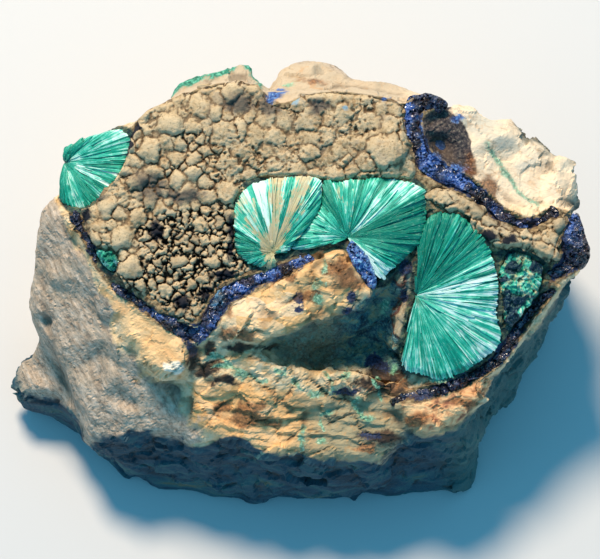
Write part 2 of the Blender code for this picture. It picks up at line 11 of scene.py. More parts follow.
import bmesh
import bpy
import numpy as np
from mathutils import Matrix, Vector
from mathutils.bvhtree import BVHTree


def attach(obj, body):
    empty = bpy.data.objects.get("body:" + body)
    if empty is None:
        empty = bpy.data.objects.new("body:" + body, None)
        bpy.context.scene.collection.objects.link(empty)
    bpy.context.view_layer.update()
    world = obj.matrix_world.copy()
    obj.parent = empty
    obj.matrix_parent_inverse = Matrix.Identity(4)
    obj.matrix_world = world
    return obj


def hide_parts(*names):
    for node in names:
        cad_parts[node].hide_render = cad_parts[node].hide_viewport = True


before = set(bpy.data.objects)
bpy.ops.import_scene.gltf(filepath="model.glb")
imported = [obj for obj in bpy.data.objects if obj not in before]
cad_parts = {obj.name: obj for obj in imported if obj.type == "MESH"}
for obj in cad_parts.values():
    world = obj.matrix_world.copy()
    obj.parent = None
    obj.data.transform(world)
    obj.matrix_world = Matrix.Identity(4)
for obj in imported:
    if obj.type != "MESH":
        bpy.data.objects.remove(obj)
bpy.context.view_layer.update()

# ---- the bench -----------------------------------------------------------------------
BENCH_TILT = math.radians(18)
BENCH_ZERO = Vector((0.33, -3.43, 25.0))
BENCH = Matrix.Translation(BENCH_ZERO) @ Matrix.Rotation(BENCH_TILT, 4, "X")
BENCH_TURN = np.array(BENCH.to_3x3())

# ---- colours -------------------------------------------------------------------------
def colour(code):
    """A linear colour from an sRGB hex code."""
    parts = [int(code[i:i + 2], 16) / 255 for i in (1, 3, 5)]
    linear = [p / 12.92 if p <= 0.04045 else ((p + 0.055) / 1.055) ** 2.4 for p in parts]
    return (*linear, 1.0)


# ---- repeatable noise ----------------------------------------------------------------
def cell_random(cells, seed):
    """A number from 0 to 1 for each whole-numbered cell, always the same for one seed.

    The large odd numbers only mix the bits.
    """
    x, y, z = (cells[:, i].astype(np.uint32) for i in range(3))
    mixed = x * np.uint32(73856093) ^ y * np.uint32(19349663) ^ z * np.uint32(83492791)
    mixed ^= np.uint32((seed * 2654435761) % 4294967296)
    mixed ^= mixed >> np.uint32(15)
    mixed *= np.uint32(2246822519)
    mixed ^= mixed >> np.uint32(13)
    mixed *= np.uint32(3266489917)
    mixed ^= mixed >> np.uint32(16)
    return mixed.astype(np.float64) / 4294967296.0


def soft_noise(points, size, seed, octaves=1):
    """Smooth noise from -1 to 1 with features of one size and finer ones over it."""
    total = np.zeros(len(points))
    strength, reach = 1.0, 0.0
    for octave in range(octaves):
        scaled = points / size * 2.0 ** octave
        base = np.floor(scaled)
        part = scaled - base
        part = part * part * (3 - 2 * part)
        base = base.astype(np.int64)
        value = np.zeros(len(points))
        for corner in range(8):
            step = np.array([corner & 1, corner >> 1 & 1, corner >> 2 & 1])
            weight = np.where(step == 1, part, 1 - part).prod(axis=1)
            value += weight * cell_random(base + step, seed + octave)
        total += strength * (value * 2 - 1)
        reach += strength
        strength *= 0.5
    return total / reach


def cells_near(points, size, seed):
    """For each point: distances to the two nearest cell centres, the nearest cell and the way to it."""
    scaled = points / size
    base = np.floor(scaled).astype(np.int64)
    first = np.full(len(points), 9.0)
    second = np.full(len(points), 9.0)
    cell = np.zeros_like(base)
    way = np.zeros_like(points)
    for dx in (-1, 0, 1):
        for dy in (-1, 0, 1):
            for dz in (-1, 0, 1):
                here = base + np.array([dx, dy, dz])
                centre = here + np.stack([cell_random(here, seed + k) for k in (11, 23, 37)], axis=1)
                offset = scaled - centre
                away = np.sqrt((offset ** 2).sum(axis=1))
                closer = away < first
                second = np.where(closer, first, np.minimum(second, away))
                first = np.where(closer, away, first)
                cell[closer] = here[closer]
                way[closer] = offset[closer]
    return first, second, cell, way


def smooth_step(low, high, value):
    """A value eased from 0 to 1 between two limits."""
    part = np.clip((value - low) / (high - low), 0, 1)
    return part * part * (3 - 2 * part)


def on_plane(x, y):
    """Points of the bench as rows, for the noise above."""
    return np.stack([x.ravel(), y.ravel(), np.zeros(x.size)], axis=1)


# ---- meshes --------------------------------------------------------------------------
def to_bench(points):
    """World metres to bench millimetres."""
    return (points * 1000 - np.array(BENCH_ZERO)) @ BENCH_TURN


def to_world(points):
    """Bench millimetres to world metres."""
    return (points @ BENCH_TURN.T + np.array(BENCH_ZERO)) * 0.001


def make_piece(name, points, faces, material, smooth=True, masks=None):
    """A mesh piece from bench points and faces, with point masks for its material."""
    mesh = bpy.data.meshes.new(name)
    mesh.from_pydata(to_world(points).tolist(), [], faces if isinstance(faces, list) else faces.tolist())
    mesh.polygons.foreach_set("use_smooth", [smooth] * len(mesh.polygons))
    for key, values in (masks or {}).items():
        layer = mesh.attributes.new(key, "FLOAT", "POINT")
        layer.data.foreach_set("value", np.asarray(values, np.float32))
    mesh.materials.append(material)
    mesh.update()
    piece = bpy.data.objects.new(name, mesh)
    bpy.context.scene.collection.objects.link(piece)
    return piece


def settle(piece, slot, *nodes):
    """Ties a finished piece to the specimen and hides the imported solids that it stands for."""
    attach(piece, "root")
    if nodes:
        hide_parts(*nodes)


def node_points(name):
    """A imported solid's corners in the bench's frame, and its triangles."""
    bm = bmesh.new()
    bm.from_mesh(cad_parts[name].data)
    bmesh.ops.remove_doubles(bm, verts=bm.verts, dist=1e-6)
    bmesh.ops.triangulate(bm, faces=bm.faces)
    bm.verts.ensure_lookup_table()
    points = to_bench(np.array([vert.co[:] for vert in bm.verts]))
    faces = np.array([[vert.index for vert in face.verts] for face in bm.faces])
    bm.free()
    return points, faces


# ---- materials -----------------------------------------------------------------------
def add_node(tree, kind, settings=None, inputs=None, output=0):
    """Adds a shader node with its settings and its inputs, and returns one of its outputs.

    An input is a link, a number, a vector or a hex colour. Stops are the (position, hex)
    pairs of a run of colours.
    """
    node = tree.nodes.new("ShaderNode" + kind)
    for key, value in (settings or {}).items():
        if key != "stops":
            setattr(node, key, value)
            continue
        stops = node.color_ramp.elements
        for index, (position, code) in enumerate(value):
            stop = stops[index] if index < 2 else stops.new(position)
            stop.position, stop.color = position, colour(code)
    for key, value in (inputs or {}).items():
        if isinstance(value, bpy.types.NodeSocket):
            tree.links.new(value, node.inputs[key])
        else:
            node.inputs[key].default_value = colour(value) if isinstance(value, str) else value
    return node.outputs[output] if node.outputs else None


MADE = {}


def shared(make):
    """The material that a function makes, made once."""
    if make not in MADE:
        MADE[make] = make()
    return MADE[make]


def new_material(name):
    """A material with its surface shader and nothing else."""
    material = bpy.data.materials.new(name)
    material.use_nodes = True
    tree = material.node_tree
    tree.nodes.clear()
    surface = add_node(tree, "BsdfPrincipled")
    add_node(tree, "OutputMaterial", {}, {"Surface": surface})
    return material, tree, surface.node


def place(tree, stretch=(1, 1, 1), turn=0):
    """Positions on the piece in metres, stretched and turned for a pattern with a grain."""
    where = add_node(tree, "TexCoord", output="Object")
    if stretch == (1, 1, 1) and turn == 0:
        return where
    return add_node(tree, "Mapping", {"vector_type": "TEXTURE"},
                    {"Vector": where, "Rotation": (0, 0, math.radians(turn)), "Scale": stretch})


def mottling(tree, size, detail=3.0, rough=0.6, twist=0.0, where=None):
    """A soft pattern from 0 to 1 with features of a size in mm."""
    return add_node(tree, "TexNoise", {}, {"Vector": where or place(tree), "Scale": 1000 / size,
                                           "Detail": detail, "Roughness": rough, "Distortion": twist})


def drawn(tree, *names):
    """The masks that a mesh carries, by name."""
    return {name: add_node(tree, "Attribute", {"attribute_name": name}, output="Fac") for name in names}


def faded(tree, value):
    """A value as it is, or a (value, low, high, start, end) row spread smoothly between ranges."""
    if not isinstance(value, tuple):
        return value
    ends = zip(("Value", "From Min", "From Max", "To Min", "To Max"), value)
    return add_node(tree, "MapRange", {"interpolation_type": "SMOOTHSTEP"}, dict(ends))


def joined(tree, kind, *values):
    """Values, plain or faded, joined one after another by arithmetic."""
    total = faded(tree, values[0])
    for value in values[1:]:
        total = add_node(tree, "Math", {"operation": kind}, {0: total, 1: faded(tree, value)})
    return total


def edge(tree, drawn_mask, grain, soft=0.16, bias=0.5):
    """A mask from the mesh with its edge broken up by a pattern."""
    broken = joined(tree, "ADD", drawn_mask, joined(tree, "SUBTRACT", grain, 0.5))
    return faded(tree, (broken, bias - soft, bias + soft))


def tinted(tree, shade):
    """A colour as it is, or a run of colours from a (value, stops) pair."""
    if not isinstance(shade, tuple):
        return shade
    return add_node(tree, "ValToRGB", {"stops": shade[1]}, {"Fac": shade[0]})


def lay(tree, under, over, *amounts):
    """One colour laid over another by the product of some amounts."""
    inputs = {0: joined(tree, "MULTIPLY", *amounts), 6: tinted(tree, under), 7: tinted(tree, over)}
    return add_node(tree, "Mix", {"data_type": "RGBA", "blend_type": "MIX"}, inputs, 2)


def finish(tree, shader, base, rough, index, height, depth):
    """Colour, roughness, refraction, and fine relief of a depth in mm that the mesh is too coarse for."""
    relief = add_node(tree, "Bump", {}, {"Height": height, "Strength": 1.0, "Distance": depth / 1000})
    tree.links.new(relief, shader.inputs["Normal"])
    tree.links.new(base, shader.inputs["Base Color"])
    shader.inputs["Roughness"].default_value = rough
    shader.inputs["IOR"].default_value = index


# ---- limestone -----------------------------------------------------------------------
ROCK_VOXEL = 0.28  # mm
ROCK_TRIANGLES = 192000
STREAK = np.array([0.50, -0.86, 0.05])  # the way in which the grey flank's grain runs
TURNED = np.array([[0.82, 0.57, 0], [-0.57, 0.82, 0], [0, 0, 1]])  # turns the nose's beds by 35 degrees

# Outlines and lines on the bench are x and y in mm. Spots are x, y and half sizes in mm.
GREY_FLANK = [(-33, 12), (-26.2, 8.6), (-24.8, 5.9), (-22.8, 1.9), (-21.5, -0.6), (-20.3, -3.3),
              (-19.2, -6.0), (-18.4, -8.7), (-16.8, -10.9), (-13.1, -12.3), (-11.3, -14.0), (-11.3, -15.9),
              (-13.1, -17.8), (-16.4, -18.2), (-19.6, -19.0), (-24.0, -19.6), (-34, -18)]
CREAM_BLOCK = [(-24.3, 5.1), (-21.9, 1.9), (-20.6, -0.6), (-18.4, -1.9), (-16.1, -3.5), (-13.9, -5.2),
               (-12.2, -5.6), (-12.3, -7.6), (-11.9, -9.3), (-12.6, -10.0), (-14.6, -9.8), (-16.4, -8.9),
               (-18.1, -7.1), (-19.4, -4.6), (-21.0, -1.7), (-22.8, 1.9)]
BRIGHT_TIP = [(-14.9, -9.0), (-12.6, -8.4), (-12.2, -9.5), (-13.4, -10.0), (-14.8, -9.8)]
BROW = [(-11.3, -11.4), (-7.6, -11.3), (-4.1, -11.7), (0.0, -12.6), (3.3, -12.5), (4.9, -12.6), (7.6, -12.0),
        (10.7, -12.4), (12.9, -13.0), (18.4, -11.8), (20.1, -11.7), (18.5, -14.7), (16.9, -16.6),
        (14.2, -17.3), (10.9, -17.3), (9.3, -18.9), (7.7, -19.9), (2.7, -20.0), (0.5, -18.8), (-2.7, -19.0),
        (-6.5, -18.1), (-9.8, -16.9), (-11.5, -15.6)]
NOSE = [(-9.0, -6.5), (-8.4, -3.2), (-5.5, -0.8), (-2.0, 1.4), (1.0, 3.0), (4.2, 3.2), (6.6, 1.0),
        (8.2, -0.6), (6.3, -2.4), (3.0, -3.6), (0.0, -4.8), (-3.6, -6.4), (-6.5, -7.0)]
CAVE = [(-3.5, -6.9), (-0.2, -5.4), (2.9, -4.2), (5.2, -3.0), (6.6, -1.6), (8.4, -1.0), (10.0, 0.4),
        (11.6, 1.6), (12.2, -0.4), (11.2, -2.4), (11.2, -5.4), (12.2, -7.6), (13.4, -9.0), (11.2, -10.6),
        (8.6, -10.4), (6.4, -9.0), (3.8, -9.8), (0.8, -9.2), (-1.6, -8.4)]
# KNOB_UNDER and DARK_FRONT outline the foot of the block that is painted as shade.
KNOB_UNDER = [(-34, -12.6), (-32.1, -13.0), (-29.0, -13.4), (-25.4, -14.4), (-23.8, -17.2), (-26.8, -20.0),
              (-34, -19)]
KNOB_SEAM = [(-28.4, 0.6), (-28.1, -2.3), (-26.9, -7.9), (-25.4, -13.2), (-24.2, -16.8)]
DARK_FRONT = [(-22.4, -17.6), (-18.6, -16.7), (-16.4, -17.0), (-11.0, -18.1), (-7.7, -17.2), (-3.3, -18.7),
              (0.0, -19.3), (4.4, -19.5), (8.8, -20.0), (10.4, -19.2), (12.0, -17.6), (15.3, -17.2),
              (18.6, -16.5), (20.3, -14.8), (21.4, -12.6), (24.0, -9.9), (26.8, -5.5), (28.5, -2.2),
              (40, -2), (40, -40), (-40, -40)]
PEGS = [(11.0, 0.4, 0.75, 1.5), (11.3, -4.6, 1.2, 2.5)]
TONGUE = [(11.4, -11.6), (14.6, -11.4), (17.4, -11.0), (20.4, -10.4), (20.6, -12.2), (18.4, -14.2),
          (16.6, -16.0), (13.8, -16.6), (11.6, -15.6), (10.6, -13.6)]
TRENCH = [(2.5, -8.2), (6.0, -7.2), (10.0, -6.8), (12.0, -8.0), (12.6, -10.6), (11.5, -12.0), (9.0, -12.0),
          (6.5, -11.4), (4.0, -10.8), (2.0, -9.6)]
WINDOW = [(12.0, 19.5), (13.7, 20.0), (15.7, 18.8), (17.3, 17.3), (18.3, 14.9), (18.4, 12.3), (19.3, 10.1),
          (18.0, 10.6), (16.1, 11.2), (14.1, 11.5), (13.1, 13.9), (12.4, 16.5)]
SHELF = [(-24.5, 3.8), (-22.5, 2.0), (-19.5, -1.2), (-16.5, -3.8), (-13.5, -5.6), (-12.0, -6.4),
         (-12.2, -9.6), (-14.6, -10.0), (-17.0, -8.4), (-19.6, -5.2), (-22.2, -1.2), (-24.6, 2.4)]
TIP = [(-16.6, -7.2), (-12.6, -5.9), (-11.6, -8.6), (-12.2, -10.6), (-15.0, -11.0), (-17.4, -8.8)]
# Each fill: its outline, the lowest point it moves, then its level, slopes along x and y and top.
FILLS = [(TRENCH, -14, -14.4, 0, -0.93, -4.2), (BROW, -9, -3.4, 0, 0.08, -3.7),
         (TONGUE, -11, -3.2, 0, -0.08, -1.8), (SHELF, -9, 1.9, 0.16, 0.06, 0.0),
         (TIP, -11, -1.5, 0, -0.10, -0.2)]
RUST_SPOTS = [(-6.0, -14.6, 2.3, 1.5), (-4.6, -13.6, 1.2, 0.8), (-3.4, -15.4, 1.6, 0.6),
              (-8.6, -13.8, 1.0, 0.7), (5.6, -0.4, 2.1, 0.9), (3.6, 0.9, 1.6, 0.7), (4.4, 0.8, 1.5, 1.5),
              (6.2, -0.9, 1.2, 0.8), (-6.8, -5.9, 2.4, 0.6), (-7.6, -2.4, 0.8, 2.0), (9.5, -11.0, 2.6, 1.3),
              (12.2, -6.0, 0.8, 2.6), (1.5, -1.9, 1.0, 0.6), (-1.2, 0.4, 0.6, 0.9), (7.4, -18.6, 1.2, 0.6),
              (20.2, 9.6, 1.1, 1.9), (18.2, 12.4, 0.7, 1.4), (-14.5, 18.0, 1.6, 0.9), (2.0, 21.6, 2.6, 0.6),
              (12.6, -15.2, 1.6, 0.8), (17.6, -13.2, 1.4, 0.6)]
GREEN_SPOTS = [(2.6, 1.5, 0.35, 1.3), (2.1, -0.9, 0.9, 0.6), (2.2, -2.2, 1.0, 0.5), (0.3, -17.4, 0.5, 1.2),
               (2.0, -12.3, 1.5, 0.6), (-1.6, -9.6, 0.5, 0.4), (4.8, -10.2, 0.8, 1.0),
               (2.6, -14.6, 1.0, 0.4), (6.2, -13.2, 1.2, 0.4), (2.0, -17.6, 0.6, 0.4),
               (-8.4, -9.4, 1.6, 0.4), (-6.3, -10.2, 1.4, 0.4), (-9.6, -8.2, 0.9, 0.5),
               (9.4, -3.0, 0.6, 1.0), (10.0, -9.5, 0.9, 0.5), (7.0, -15.0, 1.1, 0.5),
               (14.8, -10.6, 1.0, 0.4), (-1.2, 21.3, 2.0, 0.5)]
GREEN_VEINS = [[(-2.6, -9.4), (-1.0, -10.2), (0.3, -11.9)], [(0.5, -16.0), (0.1, -17.4), (0.2, -18.8)],
               [(-9.4, -8.0), (-7.8, -9.2), (-6.0, -10.2), (-3.4, -10.6)],
               [(1.6, -9.6), (3.8, -12.0), (5.6, -13.6), (7.4, -15.0)],
               [(2.8, -13.2), (2.2, -14.8), (2.6, -17.2)], [(8.2, -10.6), (9.0, -11.8), (8.4, -13.0)]]
SLAB_VEIN = [(20.2, 14.6), (20.9, 13.2), (21.7, 12.0), (22.7, 10.6), (24.0, 8.9), (25.6, 7.9)]
HAZE = [(19.4, 16.6, 2.4, 1.3), (21.6, 14.8, 1.8, 0.8), (24.4, 12.4, 1.6, 0.8)]
GREEN_BAND = [(-15.4, 19.4), (-13.4, 20.9), (-10.6, 22.0), (-8.0, 22.9), (-6.0, 23.2), (-4.6, 22.4),
              (-4.4, 21.0)]
SOOT = [(-11.6, -8.4, 0.8, 1.5), (-10.4, -10.0, 1.5, 0.6), (-8.2, -10.9, 1.8, 0.5), (-9.8, -7.4, 0.7, 0.9),
        (-6.4, -7.2, 2.2, 0.5), (-3.2, -7.4, 1.6, 0.5), (8.0, -11.4, 2.6, 0.8), (10.8, -12.4, 1.4, 0.8),
        (9.2, -10.2, 2.4, 0.9), (8.6, -17.2, 2.4, 1.1), (-9.6, -9.4, 1.8, 0.8), (5.2, -12.4, 1.2, 0.5),
        (9.6, -10.2, 1.4, 0.7), (9.0, -17.0, 2.2, 0.9), (12.6, -12.8, 1.2, 0.5)]
NAVY_SPOTS = [(0.0, -2.0, 0.8, 0.7), (-0.2, -3.2, 0.6, 0.5), (5.7, -2.0, 0.7, 0.8), (5.2, -12.2, 2.2, 0.5),
              (8.2, -9.2, 1.6, 0.8), (-11.9, -7.4, 0.8, 1.2), (7.8, -17.2, 1.2, 0.6),
              (5.0, -3.4, 0.9, 0.5), (11.0, 1.4, 0.8, 1.2), (11.4, -1.8, 0.6, 1.0)]


def inside(points, outline):
    """How far each point lies inside an outline of the bench, in mm, less than 0 outside it."""
    x, y = points[:, 0], points[:, 1]
    near = np.full(len(points), 1e9)
    odd = np.zeros(len(points), bool)
    for (ax, ay), (bx, by) in zip(outline, outline[1:] + outline[:1]):
        ex, ey = bx - ax, by - ay
        part = np.clip(((x - ax) * ex + (y - ay) * ey) / (ex * ex + ey * ey), 0, 1)
        near = np.minimum(near, np.hypot(x - ax - part * ex, y - ay - part * ey))
        if ey:
            odd ^= ((ay > y) != (by > y)) & (x < (y - ay) * ex / ey + ax)
    return np.where(odd, near, -near)


def region(points, outline, soft=0.5):
    """1 inside an outline and 0 outside, with an edge that is soft for so many mm either way."""
    return smooth_step(-soft, soft, inside(points, outline))


def along(points, line):
    """How far each point lies from an open line of the bench, in mm."""
    x, y = points[:, 0], points[:, 1]
    near = np.full(len(points), 1e9)
    for (ax, ay), (bx, by) in zip(line, line[1:]):
        ex, ey = bx - ax, by - ay
        part = np.clip(((x - ax) * ex + (y - ay) * ey) / (ex * ex + ey * ey), 0, 1)
        near = np.minimum(near, np.hypot(x - ax - part * ex, y - ay - part * ey))
    return near


def spots(points, rows):
    """The strongest of a list of soft oval spots, each x, y and half sizes."""
    value = np.zeros(len(points))
    for x, y, wide, high in rows:
        away = ((points[:, 0] - x) / wide) ** 2 + ((points[:, 1] - y) / high) ** 2
        value = np.maximum(value, np.exp(-0.8 * away))
    return value


def warped(points, size, amount, seed):
    """The points moved about a little, so that named outlines turn ragged."""
    shift = [soft_noise(points, size, seed + 17 * k, 3) for k in range(3)]
    return points + amount * np.stack(shift, axis=1)


def rock_masks(points, normals):
    """Where each kind of stone, each stain and each patch of painted shade lies, from 0 to 1 at each point.
    """
    moved = warped(points, 2.2, 0.9, 5)
    ragged = warped(points, 1.6, 0.9, 6)
    torn = warped(moved, 3.0, 2.2, 8)
    broad = soft_noise(points, 7.0, 61, 3)
    x, y, z = points.T
    front_slope = smooth_step(6, 2, y) * smooth_step(25, 22, x) * smooth_step(-17, -13, z)
    upper = np.maximum(smooth_step(-6, -3.5, z), front_slope)
    top = smooth_step(0.05, 0.4, normals[:, 2]) * upper
    grey = region(torn, GREY_FLANK, 1.1)
    block = region(moved, CREAM_BLOCK)
    brow = region(moved, BROW) * top
    # dark: the foot of the block at the front, on the east side and under the knob, painted as shade.
    low = smooth_step(-7.4, -9.6, z + 0.7 * broad)
    front = low * smooth_step(-9, -13, y) * smooth_step(-25, -21, x - 0.3 * y - 6)
    right = smooth_step(13, 19, x - 0.35 * y) * smooth_step(-2.5, -6, z)
    knob = region(moved, KNOB_UNDER)
    lower = region(moved, DARK_FRONT)
    dark = np.clip(np.maximum(np.maximum(front, right), np.maximum(knob, lower)), 0, 1)
    tongue = region(moved, TONGUE) * smooth_step(-9, -6.5, z)
    dark = np.maximum(dark * (1 - tongue), smooth_step(-14.5, -16.5, z) * smooth_step(-4, -10, y))
    slab = smooth_step(11, 14, x) * smooth_step(6, 9, y)
    slab = np.maximum(slab, 0.8 * smooth_step(17.5, 20, y))
    grey = grey * (1 - block)
    back = smooth_step(-4, -8, z) * smooth_step(8, 14, y)
    grey = np.clip(np.maximum(grey, back * smooth_step(-0.35, 0.25, broad)), 0, 1)
    # cave: the hollow under the brow, which is painted as shade.
    cave = smooth_step(-1.4, 1.2, inside(moved, CAVE))
    soaked = look_up("azurite", x, y, True)[1]
    soaked = smooth_step(0.30, 0.60, soaked + 0.16 * soft_noise(points, 0.9, 83, 2))
    veins = np.zeros(len(points))
    for line in GREEN_VEINS:
        veins = np.maximum(veins, np.exp(-(along(moved, line) / 0.34) ** 2))
    veins = veins * smooth_step(-0.55, -0.05, soft_noise(points, 1.3, 87, 2))
    band = np.exp(-(along(ragged, GREEN_BAND) / 0.75) ** 2)
    thread = np.exp(-(along(warped(points, 0.9, 0.35, 9), SLAB_VEIN) / 0.42) ** 2)
    veins = np.maximum(veins, thread * (0.86 + 0.25 * soft_noise(points, 0.7, 89, 2)))
    return {
        "grey": grey, "block": block, "brow": brow, "nose": region(moved, NOSE), "dark": dark,
        "rust": spots(ragged, RUST_SPOTS) * top,
        "green": np.maximum(spots(ragged, GREEN_SPOTS), veins) * top,
        "navy": np.maximum(spots(ragged, NAVY_SPOTS), soaked) * top,
        "cave": cave * upper, "slab": slab,
        "seam": smooth_step(0.9, 0.1, along(moved, KNOB_SEAM)) * grey,
        "window": smooth_step(-0.4, 0.5, inside(moved, WINDOW)) * upper,
        "east": smooth_step(14, 19, x) * dark, "plain": smooth_step(-3, 5, y) * dark,
        "dull": cave * smooth_step(6.5, 2.5, x) * upper, "knob": knob,
        "band": band * (0.85 + 0.45 * soft_noise(points, 0.9, 88, 2)) * upper,
        "haze": spots(ragged, HAZE) * top,
        "far": smooth_step(17.5, 20, y) * smooth_step(14, 10, x) * smooth_step(-10, -7, z),
        # under: painted shade on the stone beside and under the fans.
        "under": smooth_step(0.05, 0.30, look_up("fans", x, y, True)[1]) * upper,
        "thread": np.clip(thread, 0, 1) * top, "peg": spots(moved, PEGS), "tongue": tongue,
        "soot": spots(ragged, SOOT) * top, "blue": spots(ragged, BLUE_STAINS) * top,
        "drab": brow * smooth_step(-2.5, 3.5, x),
        # The crust's clay colour on the stone round the pieces; its dark browns are painted shade in the
        # gaps.
        "skin": smooth_step(0.26, 0.52, look_up("pieces", x, y, True)[1]) * top,
        "bright": region(moved, BRIGHT_TIP, 0.4),
    }


def corner_normals(points, faces):
    """A unit normal at each point."""
    a, b, c = (points[faces[:, k]] for k in range(3))
    cross = np.cross(b - a, c - a)
    normals = np.zeros_like(points)
    for k in range(3):
        for axis in range(3):
            normals[:, axis] += np.bincount(faces[:, k], cross[:, axis], len(points))
    return normals / (np.linalg.norm(normals, axis=1, keepdims=True) + 1e-12)


def relax(points, faces, rounds, strength=0.5):
    """Evens out a surface by moving each point toward the middle of its neighbours."""
    edges = np.concatenate([faces[:, [0, 1]], faces[:, [1, 2]], faces[:, [2, 0]]])
    count = np.bincount(edges[:, 0], minlength=len(points)).astype(float)
    for _ in range(rounds):
        middle = np.stack([np.bincount(edges[:, 0], points[edges[:, 1], axis], len(points))
                           for axis in range(3)], axis=1) / count[:, None]
        points = points + strength * (middle - points)
    return points


def broken_facets(points, size, seed, tilt=1.0):
    """Heights of flat broken faces: each cell of stone is a plane of its own."""
    first, second, cell, way = cells_near(points, size, seed)
    slope = sum((cell_random(cell, seed + 51 + k) - 0.5) * way[:, k] for k in range(3))
    rise = cell_random(cell, seed + 71) - 0.5
    return tilt * 2 * slope + rise, second - first


def ledges(points, size, seed):
    """Small broken beds across the slope: each drops off toward the front and falls slowly behind."""
    level = (points[:, 1] + 0.10 * points[:, 0]) / size + 0.6 * soft_noise(points, 3.4, seed, 3)
    row = np.floor(level)
    column = np.floor(points[:, 0] / 3.3 + 0.37 * row + 0.5 * soft_noise(points, 2.0, seed + 1, 2))
    tall = cell_random(np.stack([row, column, 0 * row], axis=1).astype(np.int64), seed)
    return tall * np.minimum(1 - (level - row), 6 * (level - row))


def rock_relief(points, masks):
    """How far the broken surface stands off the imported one, in mm, and how deep its cracks are."""
    grey, dark, nose, brow, cave = (masks[key] for key in ("grey", "dark", "nose", "brow", "cave"))
    coarse, gap_coarse = broken_facets(warped(points, 3.0, 0.45, 91), 3.1, 7)
    medium, gap_medium = broken_facets(warped(points, 1.2, 0.2, 19), 1.25, 23)
    fine = broken_facets(points, 0.62, 31)[0]
    along_streak = points @ STREAK
    across = points - along_streak[:, None] * STREAK
    streaky = across + 0.30 * along_streak[:, None] * STREAK
    grains, gap_grains = broken_facets(streaky, 0.55, 43)
    ridges = soft_noise(streaky, 1.3, 53, 3)
    swell = soft_noise(points, 6.0, 3, 2)
    beds = points[:, 2] + 0.12 * points[:, 0] + 0.6 * soft_noise(points, 5.0, 77, 2)
    beds = beds + 1.3 * soft_noise(points * [0.5, 0.5, 1], 4.2, 78, 3)
    step = beds / 2.3 - np.floor(beds / 2.3)
    patchy = smooth_step(-0.45, 0.25, soft_noise(points, 4.4, 79, 2))
    strata = smooth_step(0.0, 0.20, step) * (1 - step) * patchy
    cream = np.clip(1 - grey - dark, 0, 1)
    calm = 1 - 0.4 * brow - 0.25 * cave - 0.6 * masks["slab"] - 0.05 * nose
    calm = np.clip(calm - 0.4 * masks["block"], 0.25, 1)
    relief = cream * calm * ((0.46 - 0.04 * nose) * coarse + (0.13 + 0.03 * nose + 0.25 * cave) * medium
                             + (0.07 - 0.04 * nose) * fine)
    relief += cream * brow * (0.42 * ledges(points, 1.9, 37) + 0.18 * ledges(points, 0.8, 38))
    relief += cream * nose * 0.22 * ledges(points @ TURNED, 2.3, 39)
    relief += grey * (0.05 * coarse + 0.07 * ridges + 0.07 * grains + 0.04 * fine)
    relief += dark * (1 - 0.8 * masks["knob"]) \
        * (0.48 * coarse + 0.42 * strata + 0.20 * medium + 0.06 * fine)
    relief += 0.20 * swell - 0.18 * masks["seam"]
    opened = smooth_step(0.05, 0.35, soft_noise(points, 2.4, 67, 2)) * (1 - masks["slab"])
    wide, narrow = smooth_step(0.08, 0.0, gap_coarse), smooth_step(0.08, 0.0, gap_medium)
    crack = cream * opened * np.maximum(wide, 0.4 * narrow)
    split = smooth_step(-0.1, 0.3, soft_noise(points, 1.9, 68, 2))
    crack = np.maximum(crack * (1 - cave), cream * nose * split * smooth_step(0.34, 0.06, gap_coarse))
    crack = np.maximum(crack, grey * 0.25 * smooth_step(0.10, 0.0, gap_grains))
    return relief - 0.22 * crack, crack


def build_rock():
    """The broken block that carries the other pieces."""
    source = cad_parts["matrix_rock"]
    helper = bpy.data.objects.new("helper", source.data.copy())
    bpy.context.scene.collection.objects.link(helper)
    remesh = helper.modifiers.new("even", "REMESH")
    remesh.mode = "VOXEL"
    remesh.voxel_size = ROCK_VOXEL / 1000
    points, faces = evaluated(helper)
    points = to_bench(points)
    points = relax(points, faces, 4)
    points = bedded(filled(points), corner_normals(points, faces))
    points = relax(points, faces, 2)
    normals = corner_normals(points, faces)
    masks = rock_masks(points, normals)
    relief = rock_relief(points, masks)[0]
    under = look_up("pieces", points[:, 0], points[:, 1])[1] * smooth_step(-0.2, 0.2, normals[:, 2])
    relief = relief * (0.3 + 0.7 * smooth_step(0.5, 3.5, to_world(points)[:, 2] * 1000))
    points = points + normals * (relief * (1 - 0.8 * smooth_step(0.5, 1.0, under)))[:, None]
    points = off_floor(points)
    helper.modifiers.clear()
    fill_mesh(helper.data, points, faces)
    group = helper.vertex_groups.new(name="spare")
    weight = spare_weight(points, normals)
    for level in range(1, 5):
        group.add(np.flatnonzero(np.round(weight * 4) == level).tolist(), level / 4, "REPLACE")
    thin = helper.modifiers.new("thin", "DECIMATE")
    thin.ratio = ROCK_TRIANGLES / len(faces)
    thin.vertex_group = "spare"
    thin.vertex_group_factor = 1.0
    points, faces = evaluated(helper)
    bpy.data.objects.remove(helper)
    points = to_bench(points)
    normals = corner_normals(points, faces)
    masks = rock_masks(points, normals)
    masks["crack"] = rock_relief(points, masks)[1]
    # hollow: the creases, which get a brown that is partly stain and partly painted shade.
    masks["hollow"] = hollowness(points, faces, normals) * (1 - masks["cave"])
    piece = make_piece("limestone_block", points, faces, limestone(), False, masks)
    settle(piece, "limestone", "matrix_rock")


def off_floor(points):
    """Keeps the underside on the floor."""
    world = to_world(points)
    world[:, 2] = np.maximum(world[:, 2], 0)
    return to_bench(world)


def evaluated(obj):
    """Corner positions and triangles of an object with its modifiers."""
    graph = bpy.context.evaluated_depsgraph_get()
    mesh = obj.evaluated_get(graph).to_mesh()
    mesh.calc_loop_triangles()
    points = np.empty(len(mesh.vertices) * 3, np.float32)
    mesh.vertices.foreach_get("co", points)
    faces = np.empty(len(mesh.loop_triangles) * 3, np.int32)
    mesh.loop_triangles.foreach_get("vertices", faces)
    obj.evaluated_get(graph).to_mesh_clear()
    return points.reshape(-1, 3).astype(float), faces.reshape(-1, 3)


